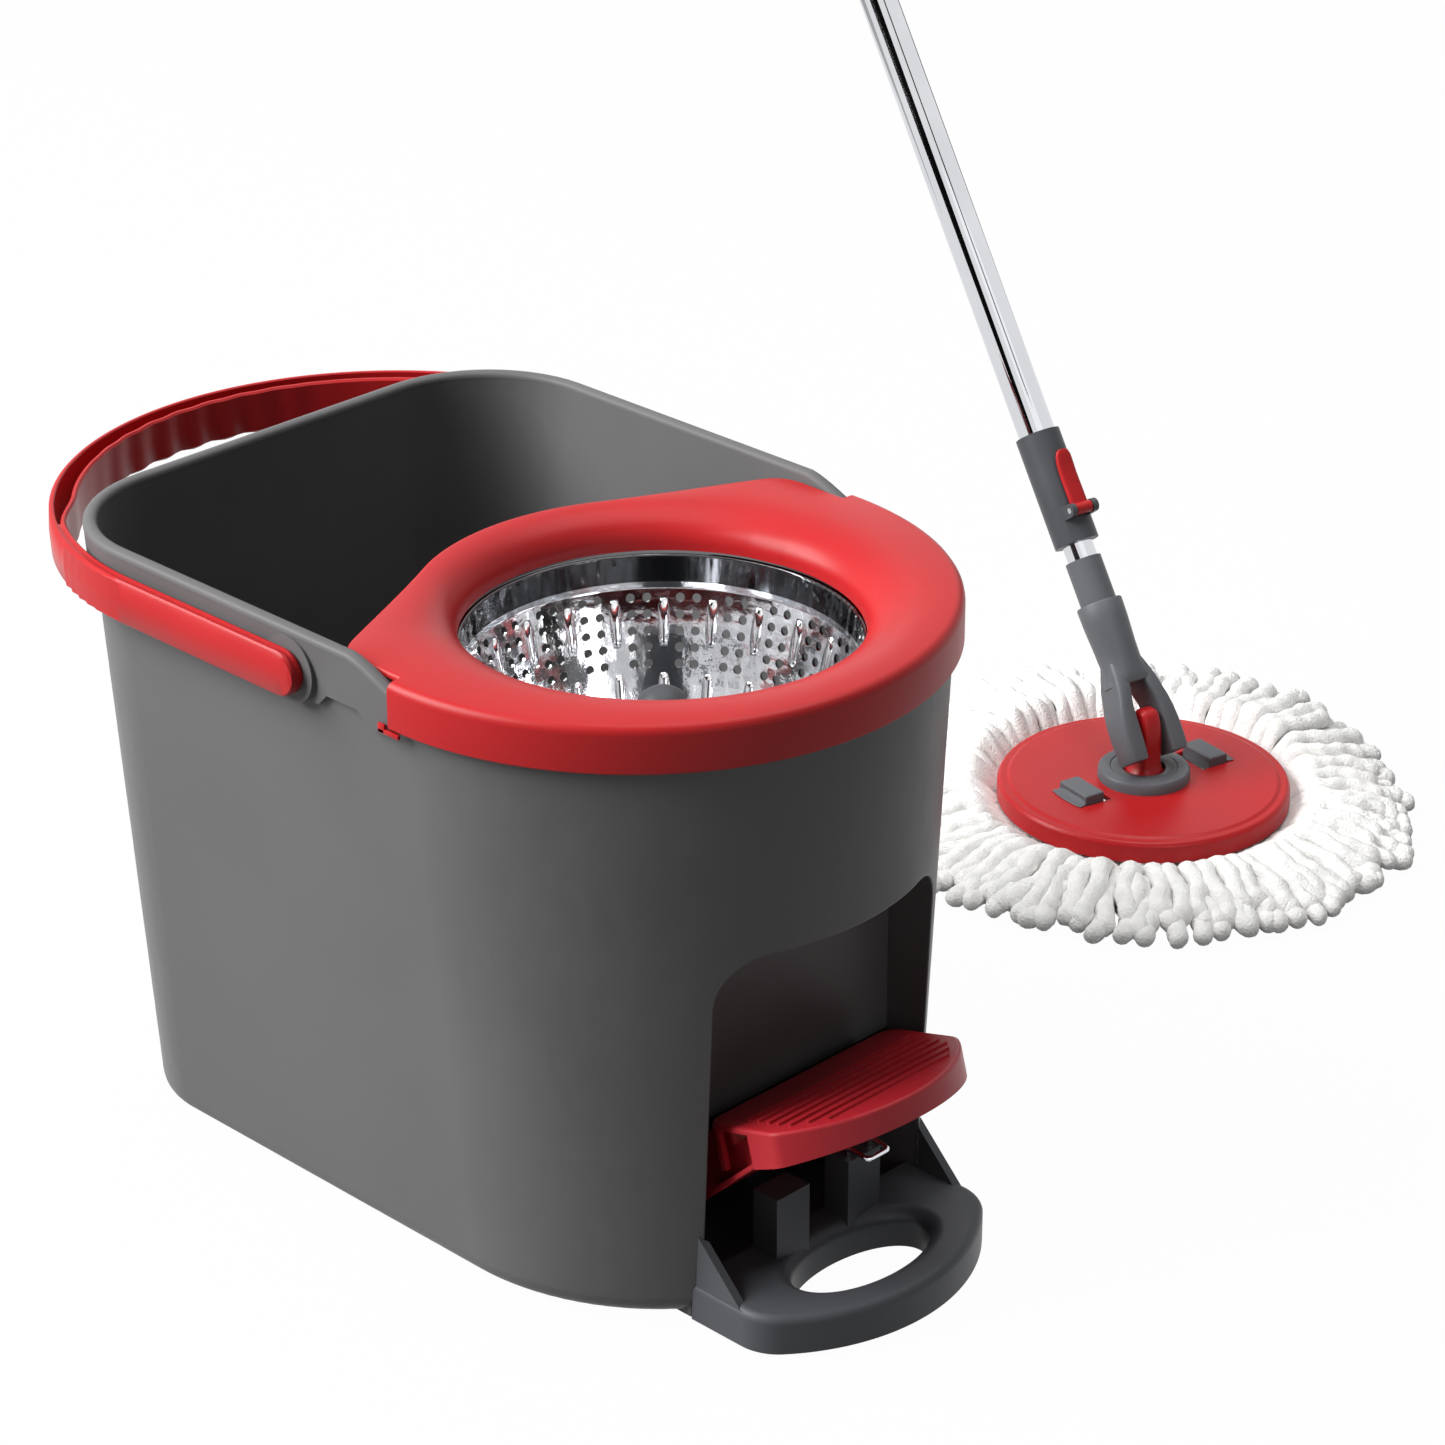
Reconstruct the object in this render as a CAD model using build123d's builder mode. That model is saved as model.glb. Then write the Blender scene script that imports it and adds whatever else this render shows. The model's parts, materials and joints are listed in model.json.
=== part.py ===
from build123d import *
from math import acos, atan2, cos, degrees, hypot, pi, radians, sin, sqrt, tan
import os

os.makedirs("parts", exist_ok=True)

# Spin mop set: a pedal bucket with a spinning wringer basket, and the mop that goes with it.
# Millimetres. The origin is on the floor under the basket's spin axis, +X points at the pedal, +Z up.

# Clearances
running_fit = 0.05
soft_gap = 0.3
loose_gap = 1.0

# Tub
foot_thickness = 3.0
wall = 3.0
floor_thickness = 4.0
tub_bottom = foot_thickness
rim_height = 291.0
bottom_half = 112.0
bottom_arc_x = -2.0
bottom_back = -241.0
bottom_corner = 45.0
rim_half = 134.0
rim_arc_x = -15.0
rim_back = -250.0
rim_corner = 58.0
band_height = 29.0
band_proud = 3.0
tub_edge = 12.0
rim_edge = 1.2
ear_start = -43.0
ear_drop = 9.0
scallop_start = -64.0
scallop_end = -33.0
scallop_rise = 6.0

# Lid over the front of the tub
lid_radius = 137.5
lid_wall = 2.5
lid_top = 288.0
lid_plate = 3.0
lid_skirt = 21.0
lid_start = -18.0
lid_side_half = 129.8
lid_tip_x = -62.0
lid_tip_half = 129.6
lid_back_x = -86.0
lid_back_half = 62.0
bowl_top_radius = 104.0
bowl_radius = 85.5
bowl_drop = 13.0
bowl_wall = 3.0
bowl_lip = 4.0
hook_length = 8.0
hook_height = 7.0
hook_drop = 3.0
hook_thickness = 1.4

# Bail handle
pivot_x = -79.0
pivot_height = 274.0
boss_radius = 15.0
boss_pin = 7.0
boss_seat = 132.0
bail_gap = 1.0
bail_strap = 6.0
bail_height = 20.0
bail_arc_x = -179.0
bail_channel = 12.0
bail_channel_wall = 2.5
bail_channel_angle = 55.0
bail_end = 11.0
bail_face = 2.0

# Tower and niche that carry the drive
tower_back = -82.0
tower_height = 150.0
niche_half = 66.0
niche_back = 72.0
niche_height = 176.0
niche_corner = 22.0

# Base with the foot ring
flange_thickness = 3.0
plate_thickness = 5.0
flange_half = 80.0
flange_back = -98.0
flange_front = 60.0
side_gap = 1.0
foot_front = 155.0
foot_half = 70.0
foot_height = 18.0
foot_start = 84.0
foot_corner = 22.0
foot_arc = 96.0
foot_hole_x = 118.0
foot_hole_length = 75.0
foot_hole_width = 38.0
foot_edge = 4.0
hole_edge = 7.0
post_x = 99.0
post_y = 22.0
post_length = 14.0
post_width = 20.0
post_top = 50.0
gusset_thickness = 4.0
gusset_reach = 32.0
gusset_height = 28.0
cheek_thickness = 6.0
cheek_width = 20.0
cheek_y = 53.0

# Screws and feet
screw_radius = 2.0
screw_head = 4.0
screw_head_height = 2.0
screw_length = 10.0
screw_boss = 6.0
screw_boss_height = 10.0
screw_places = [(-90, 40), (-90, -40), (-40, 73), (-40, -73), (45, 73), (45, -73)]
rubber_radius = 11.0
centre_foot_radius = 16.0
rubber_places = [(-205, 70), (-205, -70), (112, 54), (112, -54)]

# Pedal
pedal_x = 48.0
pedal_height = 32.0
pedal_press = 16.0
pin_radius = 4.0
pedal_hub = 9.0
pedal_arm = 6.0
arm_y = 43.0
tread_x = 106.5
tread_height = 98.5
tread_back = 28.0
tread_front = 43.0
tread_half = 57.0
tread_arc = 70.0
tread_skirt = 22.0
tread_nose = 11.0
tread_wall = 2.5
tread_edge = 1.8
tread_corner = 9.0
tread_ribs = 7
tread_rib_start = -8.0
tread_rib_step = 5.8
tread_rib_width = 2.0
tread_rib_rise = 1.2
tread_rib_margin = 7.5
waffle_ribs = 4
waffle_depth = 7.0
arm_front = 2.0
arm_depth = 15.0
side_open = 2.0
flange_share = 0.45
crank = 60.0
crank_end = 7.0
crank_pin = 3.0
spring_wire = 1.0
spring_radius = pin_radius + spring_wire + soft_gap
spring_pitch = 2.7
spring_turns = 12
spring_leg = 17.5
spring_slope = 14.0
spring_rest_length = 6.0
spring_rest_width = 8.0
staple_width = 10.0
staple_height = 9.0

# Drive train
rack_module = 1.5
rack_teeth = 9
rack_lead = 2.5
rack_height = 10.0
rack_depth = 9.0
slot_play = 0.1
lay_x = -30.0
lay_y = -22.5
lay_radius = 4.0
lay_pinion_teeth = 12
gear_module = 1.25
gear_teeth = 48
drive_teeth = 12
gear_level = 63.0
gear_thickness = 8.0
gear_windows = 6
gear_window = 7.0
pressure_angle = 25.0
backlash = 0.3
tooth_rise = 0.8
tooth_fall = 1.15
shaft_radius = 5.0
shaft_low = 14.0
bush_wall = 4.0
bush_length = 14.0
race_radius = 15.0
race_inner = 11.5
race_height = 14.0
roller_radius = 1.95
roller_count = 6
frame_height = 104.0
frame_thickness = 4.0
pillar_radius = 5.0
pillar_places = [(-72, -56), (-72, 36), (18, -56), (18, 36)]
cover_thickness = 3.0
cover_low = 84.0
cover_return = 14.0

# Basket
basket_top = 270.0
ring_low = 254.0
ring_radius = 87.5
ring_wall = 3.0
cup_wall = 1.2
cup_top_radius = ring_radius - ring_wall + cup_wall
cup_floor_radius = 68.0
cup_floor = 186.0
cup_corner = 4.5
hole_radius = 2.0
hole_pitch = 7.1
hole_rows = 5
slot_count = 24
slot_width = 3.4
slot_length = 21.0
post_radius = 10.0
post_flange = 30.0
post_rise = 246.0
post_dome = 12.5
nut_radius = 8.0
nut_height = 6.0
clutch_sleeve_wall = 2.5

# Mop head, standing on the floor beside the bucket
mop_x = -79.0
mop_y = 424.0
mop_yaw = 12.0
mop_lean = 37.0
disc_radius = 75.0
disc_top = 27.0
disc_plate = 3.0
disc_skirt = 12.0
disc_wall = 3.0
disc_groove = 70.0
hub_radius = 22.5
hub_height = 5.0
hub_wall = 5.0
swivel_radius = 8.0
retainer_radius = 13.0
retainer_thickness = 2.5
latch_place = 40.0
latch_width = 22.0
latch_length = 11.5
latch_height = 5.0
latch_travel = 4.0
ring_outer = 69.0
ring_inner = 41.0
ring_top = 23.5
strand_count = 100
strand_width = 2.4
strand_thick = 4.0
strand_step = 4.8
strand_reach = [118.0, 132.0, 145.0]
strand_flat = 116.0
strand_droop = 0.7
strand_root = 48.0

# Mop handle, along the pole from the tilt pin
tilt_height = 52.0
knuckle_width = 15.4
knuckle_radius = 8.0
knuckle_tab = 13.0
knuckle_tab_half = 5.0
fork_gap = 16.0
fork_leg = 9.0
fork_legs = 30.0
fork_toe = 14.0
fork_bridge = 4.0
fork_body = 40.0
fork_low_radius = 11.0
fork_top_radius = 12.0
tilt_pin = 3.5
sleeve_length = 24.0
sleeve_radius = 9.5
tube_radius = 8.0
tube_wall = 1.0
tube_length = 560.0
collar_gap = 9.0
collar_length = 60.0
collar_radius = 11.75
pole_radius = 9.75
pole_length = 690.0
pole_overlap = 30.0
lever_length = 32.0
lever_width = 10.0
lever_thickness = 3.5
lever_pin = 1.5
ear_width = 3.0
grip_length = 130.0
grip_radius = 13.0
cap_length = 34.0
hang_hole = 6.0


def save(piece, name):
    piece.part.label = name
    export_step(piece.part, f"parts/{name}.step")


# Plan of the tub at a height, drawn in by an inset
def tub_section(height, inset):
    share = (height - tub_bottom) / (rim_height - tub_bottom)
    half = bottom_half + share * (rim_half - bottom_half) - inset
    centre = bottom_arc_x + share * (rim_arc_x - bottom_arc_x)
    back = bottom_back + share * (rim_back - bottom_back) + inset
    corner = bottom_corner + share * (rim_corner - bottom_corner) - inset
    bulge = corner * (1 - sqrt(0.5))
    with BuildSketch(Plane.XY.offset(height)) as plan:
        with BuildLine():
            ThreePointArc((centre, -half), (centre + half, 0), (centre, half))
            Line((centre, half), (back + corner, half))
            ThreePointArc((back + corner, half), (back + bulge, half - bulge), (back, half - corner))
            Line((back, half - corner), (back, corner - half))
            ThreePointArc((back, corner - half), (back + bulge, bulge - half), (back + corner, -half))
            Line((back + corner, -half), (centre, -half))
        make_face()
    return plan.sketch


def tub_block(low, high, inset, mode=Mode.ADD):
    loft([tub_section(low, inset), tub_section(high, inset)], ruled=True, mode=mode)


def bar(x_low, x_high, y_low, y_high, z_low, z_high, mode=Mode.ADD):
    with Locations(((x_low + x_high) / 2, (y_low + y_high) / 2, (z_low + z_high) / 2)):
        Box(x_high - x_low, y_high - y_low, z_high - z_low, mode=mode)


def post(x, y, radius, low, high, mode=Mode.ADD):
    with Locations((x, y, (low + high) / 2)):
        Cylinder(radius, high - low, mode=mode)


# Round bar across the bucket, along Y
def cross(x, z, radius, low, high, mode=Mode.ADD):
    with Locations((x, (low + high) / 2, z)):
        Cylinder(radius, high - low, rotation=(90, 0, 0), mode=mode)


# Outline in the XZ plane, extruded along Y between two places
def side_plate(points, low, high, mode=Mode.ADD):
    with BuildSketch(Plane.XZ.offset(-high)) as outline:
        with BuildLine():
            Polyline(*points, close=True)
        make_face()
    extrude(outline.sketch, amount=high - low, mode=mode)


# Tube of turns about a plane's Z axis: each half turn is two arcs that meet in one tangent
def coil_path(plane, radius, pitch, turns, lead):
    def spot(turn):
        angle = 2 * pi * turn
        return plane.from_local_coords(Vector(radius * cos(angle), radius * sin(angle), pitch * turn))

    def heading(turn):
        angle = 2 * pi * turn
        local = Vector(-2 * pi * radius * sin(angle), 2 * pi * radius * cos(angle), pitch).normalized()
        return (plane.x_dir * local.X + plane.y_dir * local.Y + plane.z_dir * local.Z).normalized()

    if lead:
        Line(spot(0) - heading(0) * lead, spot(0))
    for half in range(2 * turns):
        start = spot(half / 2)
        end = spot((half + 1) / 2)
        leave = heading(half / 2)
        arrive = heading((half + 1) / 2)
        chord = end - start
        total = leave + arrive
        spread = 2 * (1 - leave.dot(arrive))
        run = chord.dot(total)
        reach = (sqrt(run * run + spread * chord.dot(chord)) - run) / spread
        first = start + leave * reach
        second = end - arrive * reach
        middle = (first + second) * 0.5
        TangentArc(start, middle, tangent=leave)
        TangentArc(middle, end, tangent=second - first)
    if lead:
        Line(spot(turns), spot(turns) + heading(turns) * lead)


def involute(angle):
    return tan(angle) - angle


# Corner points of one gear tooth after another, for a gear centred on the sketch
def gear_points(module, teeth, phase):
    pitch_radius = module * teeth / 2
    base = pitch_radius * cos(radians(pressure_angle))
    root = pitch_radius - tooth_fall * module
    tip = pitch_radius + tooth_rise * module
    half = (pi * module / 2 - backlash) / (2 * pitch_radius) + involute(radians(pressure_angle))
    radii = [root, max(root, base), (base + pitch_radius) / 2, pitch_radius, (pitch_radius + tip) / 2, tip]
    radii = [radius for place, radius in enumerate(radii) if place == 0 or radius > root + 0.01]
    flank = [(radius, half - involute(acos(min(1, base / radius)))) for radius in radii]
    points = []
    for tooth in range(teeth):
        middle = radians(phase) + 2 * pi * tooth / teeth
        for radius, turn in flank:
            points.append((radius * cos(middle - turn), radius * sin(middle - turn)))
        for radius, turn in reversed(flank):
            points.append((radius * cos(middle + turn), radius * sin(middle + turn)))
    return points


def gear(x, y, module, teeth, phase, low, high):
    with BuildSketch(Plane((x, y, low))) as outline:
        with BuildLine():
            Polyline(*gear_points(module, teeth, phase), close=True)
        make_face()
    extrude(outline.sketch, amount=high - low)


# Tub: tapered shell with a floor, a rim band, the tower over the drive and the pedal niche
floor_top = tub_bottom + flange_thickness + floor_thickness
seat_height = lid_top - lid_plate
tower_inside = tower_back + wall
tower_roof = tower_height - wall
seal_radius = shaft_radius + bush_wall
roof_boss = seal_radius + wall

with BuildPart() as rim_band:
    tub_block(rim_height - band_height, rim_height, -band_proud)
    split(bisect_by=Plane.YZ.offset(lid_start - loose_gap), keep=Keep.BOTTOM)
    band_low = rim_height - band_height
    side_plate([(scallop_start, band_low - wall), (scallop_start, band_low),
                (scallop_start + scallop_rise, band_low + scallop_rise),
                (scallop_end - scallop_rise, band_low + scallop_rise), (scallop_end, band_low),
                (scallop_end, band_low - wall)], -lid_radius - wall, lid_radius + wall, Mode.SUBTRACT)

with BuildPart() as tower:
    bar(tower_back, niche_back, -niche_half - wall, niche_half + wall, tub_bottom, tower_height)
    bar(niche_back - wall, lid_radius, -niche_half - wall, niche_half + wall, tub_bottom, niche_height + wall)
    tub_block(tub_bottom, rim_height, wall / 2, Mode.INTERSECT)

with BuildPart() as tub:
    tub_block(tub_bottom, rim_height, 0)
    fillet(tub.faces().sort_by(Axis.Z)[0].edges(), tub_edge)
    add(rim_band)
    tub_block(floor_top, rim_height, wall, Mode.SUBTRACT)
    add(tower)
    for place_x, place_y in screw_places:
        post(place_x, place_y, screw_boss, tub_bottom + flange_thickness, floor_top + screw_boss_height)
    post(0, 0, roof_boss, tower_roof - bush_length, tower_height + bush_length / 2)
    bar(tower_inside, niche_back, -niche_half, niche_half, 0, tower_roof - bush_length, Mode.SUBTRACT)
    with BuildSketch(Plane.XY.offset(tower_roof - bush_length)):
        with Locations(((tower_inside + niche_back) / 2, 0)):
            Rectangle(niche_back - tower_inside, 2 * niche_half)
        Circle(roof_boss, mode=Mode.SUBTRACT)
    extrude(amount=bush_length, mode=Mode.SUBTRACT)
    with BuildSketch(Plane.YZ.offset(niche_back)):
        with Locations((0, niche_height / 2)):
            opening = Rectangle(2 * niche_half, niche_height)
        fillet(opening.vertices().group_by(Axis.Y)[-1], niche_corner)
    extrude(amount=lid_radius, mode=Mode.SUBTRACT)
    bar(flange_back, flange_front, -flange_half, flange_half, 0, tub_bottom + flange_thickness, Mode.SUBTRACT)
    bar(lid_start, lid_radius, -lid_radius, lid_radius, seat_height, rim_height + wall, Mode.SUBTRACT)
    for place_x, place_y in screw_places:
        post(place_x, place_y, screw_radius, 0, floor_top + screw_boss_height - wall, Mode.SUBTRACT)
    post(0, 0, shaft_radius + bush_wall, tower_roof - bush_length, tower_height + bush_length, Mode.SUBTRACT)
    for side in (-1, 1):
        socket = sorted((side * boss_seat, side * lid_radius * 2))
        cross(pivot_x, pivot_height, boss_radius, *socket, mode=Mode.SUBTRACT)
    fillet(tub.faces().sort_by(Axis.Z)[-1].edges(), rim_edge)
    side_plate([(ear_start, rim_height), (ear_start, rim_height + wall), (lid_start, rim_height + wall),
                (lid_start, rim_height - ear_drop)], -lid_radius - wall, lid_radius + wall, Mode.SUBTRACT)
save(tub, "tub")

# Lid: skirt round the tub's front, flat band and a bowl down to the basket's mouth
with BuildPart() as lid_plan:
    with BuildSketch(Plane.XY.offset(lid_top - bowl_drop - bowl_lip)):
        with BuildLine():
            front_y = sqrt(lid_radius**2 - (lid_start - rim_arc_x) ** 2)
            ThreePointArc((lid_start, -front_y), (rim_arc_x + lid_radius, 0), (lid_start, front_y))
            Polyline((lid_start, front_y), (lid_start, lid_side_half), (lid_tip_x, lid_tip_half),
                     (lid_back_x, lid_back_half))
            back_bulge = -hypot(lid_back_x, lid_back_half)
            ThreePointArc((lid_back_x, lid_back_half), (back_bulge, 0), (lid_back_x, -lid_back_half))
            Polyline((lid_back_x, -lid_back_half), (lid_tip_x, -lid_tip_half), (lid_start, -lid_side_half),
                     (lid_start, -front_y))
        make_face()
    extrude(amount=bowl_drop + bowl_lip)

with BuildPart() as lid_bowl:
    with BuildSketch(Plane.XZ):
        with BuildLine():
            low = lid_top - bowl_drop
            inside = Polyline((bowl_radius, low - bowl_lip), (bowl_radius, low), (bowl_top_radius, lid_top),
                              (bowl_top_radius + bowl_wall, lid_top))
            Polyline(inside @ 1, (bowl_top_radius + bowl_wall, seat_height), (bowl_radius + bowl_wall, low),
                     (bowl_radius + bowl_wall, low - bowl_lip), inside @ 0)
        make_face()
    revolve(axis=Axis.Z)
    add(lid_plan, mode=Mode.INTERSECT)

with BuildPart() as lid:
    add(lid_plan)
    bar(-lid_radius, lid_radius, -lid_radius, lid_radius, 0, seat_height, Mode.SUBTRACT)
    post(0, 0, bowl_top_radius + bowl_wall / 2, seat_height, lid_top, Mode.SUBTRACT)
    with BuildSketch(Plane.XY.offset(lid_top - lid_skirt)):
        with Locations((rim_arc_x, 0)):
            Circle(lid_radius)
            Circle(lid_radius - lid_wall, mode=Mode.SUBTRACT)
        with Locations((lid_start - lid_radius, 0)):
            Rectangle(2 * lid_radius, 2 * lid_radius, mode=Mode.SUBTRACT)
    extrude(amount=lid_skirt)
    add(lid_bowl)
    hook_low = lid_top - lid_skirt - hook_drop
    for side in (-1, 1):
        hook = sorted((side * front_y, side * (front_y - hook_thickness)))
        bar(lid_start - hook_length, lid_start + hook_length, *hook, hook_low, hook_low + hook_height)
    fillet(lid.faces().sort_by(Axis.Z)[-1].outer_wire().edges().sort_by(Axis.X)[-1], lid_wall / 2)
save(lid, "lid")

# Base: flange under the tub's floor, foot ring, hinge cheeks, posts and gussets
inner_half = niche_half - side_gap
flange_top = tub_bottom + flange_thickness
plate_top = tub_bottom + plate_thickness
foot_top = tub_bottom + foot_height
foot_side = foot_half - side_gap
coil_width = spring_pitch * spring_turns
spring_turn = radians(spring_slope)

with BuildPart() as wall_room:
    tub_block(tub_bottom, rim_height, -soft_gap)
    bar(rim_back, lid_radius, -inner_half, inner_half, 0, rim_height, Mode.SUBTRACT)

with BuildPart() as base:
    with BuildSketch(Plane.XY.offset(tub_bottom)):
        with BuildLine():
            corner_x = foot_front - foot_arc + sqrt(foot_arc**2 - foot_half**2)
            ThreePointArc((corner_x, -foot_half), (foot_front, 0), (corner_x, foot_half))
            Polyline((corner_x, foot_half), (foot_start, foot_half), (foot_start, -foot_half),
                     (corner_x, -foot_half))
        foot_face = make_face()
        fillet(foot_face.vertices().group_by(Axis.X)[-1], foot_corner)
    extrude(amount=foot_height)
    fillet(base.faces().sort_by(Axis.Z)[-1].outer_wire().edges().sort_by(Axis.X)[1:], foot_edge)
    with BuildSketch(Plane.XY.offset(tub_bottom)):
        with Locations((foot_hole_x, 0)):
            Ellipse(foot_hole_width / 2, foot_hole_length / 2)
    extrude(amount=foot_height, mode=Mode.SUBTRACT)
    fillet(base.faces().sort_by(Axis.Z)[-1].inner_wires()[0].edges(), hole_edge)
    for side in (-1, 1):
        edge = sorted((side * foot_side, side * (foot_side - gusset_thickness)))
        side_plate([(foot_start, plate_top), (foot_start + gusset_reach, foot_top - foot_edge),
                    (foot_start, foot_top + gusset_height)], *edge)
    add(wall_room, mode=Mode.SUBTRACT)
    bar(flange_back + side_gap, flange_front - side_gap, side_gap - flange_half, flange_half - side_gap,
        tub_bottom, flange_top)
    bar(tower_inside + side_gap, post_x, -inner_half, inner_half, tub_bottom, plate_top)
    for side in (-1, 1):
        bar(post_x - post_length, post_x, side * post_y - post_width / 2, side * post_y + post_width / 2,
            tub_bottom, post_top)
        cheek = sorted((side * cheek_y, side * (cheek_y + cheek_thickness)))
        bar(pedal_x - cheek_width / 2, pedal_x + cheek_width / 2, *cheek, tub_bottom, pedal_height)
        cross(pedal_x, pedal_height, cheek_width / 2, *cheek)
        cross(pedal_x, pedal_height, pin_radius, *cheek, mode=Mode.SUBTRACT)
    rest_x = pedal_x - spring_radius * sin(spring_turn) - spring_leg * cos(spring_turn)
    rest_top = pedal_height + spring_radius * cos(spring_turn) - spring_leg * sin(spring_turn) - spring_wire
    bar(rest_x - side_gap, rest_x - side_gap + spring_rest_length, -coil_width / 2 - spring_rest_width / 2,
        spring_rest_width / 2 - coil_width / 2, tub_bottom, rest_top - slot_play)
    lay_boss = lay_radius + bush_wall / 2 + wall
    for place_x, place_y, radius in ((0, 0, seal_radius + wall), (lay_x, lay_y, lay_boss)):
        post(place_x, place_y, radius, tub_bottom, shaft_low + bush_length)
    post(0, 0, seal_radius, shaft_low, shaft_low + bush_length, Mode.SUBTRACT)
    post(lay_x, lay_y, lay_boss - wall, shaft_low, shaft_low + bush_length, Mode.SUBTRACT)
    for place_x, place_y in screw_places:
        post(place_x, place_y, screw_radius, tub_bottom, flange_top, Mode.SUBTRACT)
        post(place_x, place_y, screw_head, tub_bottom, tub_bottom + screw_head_height, Mode.SUBTRACT)
save(base, "base")

with BuildPart() as base_screws:
    for place_x, place_y in screw_places:
        post(place_x, place_y, screw_head, tub_bottom, tub_bottom + screw_head_height)
        post(place_x, place_y, screw_radius, tub_bottom, tub_bottom + screw_length)
save(base_screws, "base_screws")

with BuildPart() as rubber_feet:
    for place_x, place_y in rubber_places:
        post(place_x, place_y, rubber_radius, 0, foot_thickness)
save(rubber_feet, "rubber_feet")

with BuildPart() as centre_foot:
    post(0, 0, centre_foot_radius, 0, foot_thickness)
save(centre_foot, "centre_foot")

# Bail: a strap round the back of the tub with a channel along its middle, on two bosses
strap_inside = rim_half + band_proud + bail_gap
strap_outside = strap_inside + bail_strap
bail_low = pivot_height - bail_height / 2
channel_inside = strap_outside - bail_channel

with BuildPart() as bail:
    with BuildSketch(Plane.XY.offset(bail_low)):
        with Locations((bail_arc_x, 0)):
            Circle(strap_outside)
            Circle(strap_inside, mode=Mode.SUBTRACT)
        with Locations((bail_arc_x + strap_outside, 0)):
            Rectangle(2 * strap_outside, 2 * strap_outside, mode=Mode.SUBTRACT)
        for side in (-1, 1):
            with Locations(((bail_arc_x + pivot_x) / 2, side * (strap_inside + strap_outside) / 2)):
                Rectangle(pivot_x - bail_arc_x, bail_strap)
    extrude(amount=bail_height)
    channel_lip = channel_inside + bail_channel_wall
    for radius, level in ((channel_lip, bail_height), (strap_inside, bail_channel_wall)):
        with BuildSketch(Plane.XY.offset(bail_low)):
            with BuildLine():
                turn = 180 - bail_channel_angle
                arc = CenterArc((bail_arc_x, 0), radius, turn, 2 * bail_channel_angle)
                inner = CenterArc((bail_arc_x, 0), channel_inside, turn, 2 * bail_channel_angle)
                Line(arc @ 0, inner @ 0)
                Line(arc @ 1, inner @ 1)
            make_face()
        extrude(amount=level)
    for side in (-1, 1):
        cross(pivot_x, pivot_height, bail_end, *sorted((side * strap_inside, side * strap_outside)))
        socket = sorted((side * strap_inside, side * (strap_outside - bail_face)))
        cross(pivot_x, pivot_height, boss_pin + running_fit, *socket, mode=Mode.SUBTRACT)
save(bail, "bail")

for side, name in ((-1, "bail_boss_near"), (1, "bail_boss_far")):
    with BuildPart() as bail_boss:
        pin_end = strap_outside - bail_face - soft_gap
        seat = sorted((side * boss_seat, side * (strap_inside - soft_gap)))
        cross(pivot_x, pivot_height, boss_radius, *seat)
        cross(pivot_x, pivot_height, boss_pin, *sorted((side * boss_seat, side * pin_end)))
    save(bail_boss, name)

# Pedal: hollow tread on two arms, with the crank that pushes the rack
pedal_slope = radians(pedal_press)
tread_plane = Plane((tread_x, 0, tread_height), x_dir=(cos(pedal_slope), 0, sin(pedal_slope)),
                    z_dir=(-sin(pedal_slope), 0, cos(pedal_slope)))
crank_turn = radians(pedal_press / 2)
crank_x = pedal_x - crank * sin(crank_turn)
crank_height = pedal_height + crank * cos(crank_turn)
arm_root = tread_wall / 2 - tread_back
tread_foot = tread_plane.from_local_coords(Vector(arm_root, 0, -tread_edge))
arm_foot = tread_plane.from_local_coords(Vector(arm_front, 0, -arm_depth))
flange_end = arm_foot + (Vector(pedal_x, 0, pedal_height - pedal_hub) - arm_foot) * flange_share
hub_end = cheek_y - side_gap / 2
crank_pin_end = lay_y - rack_module * lay_pinion_teeth / 2 - rack_module * 2


def tread_outline(inset, back_inset):
    with BuildLine() as outline:
        half = tread_half - inset
        front = tread_front - inset
        corner = front - tread_arc + sqrt(tread_arc**2 - half**2)
        ThreePointArc((corner, -half), (front, 0), (corner, half))
        back = back_inset - tread_back
        Polyline((corner, half), (back, half), (back, -half), (corner, -half))
    face = make_face(outline.edges())
    fillet(face.vertices(), tread_corner - inset)


# Half width of the tread at a place along it
def tread_reach(place):
    return min(tread_half, sqrt(tread_arc**2 - (place + tread_arc - tread_front) ** 2))


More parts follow.
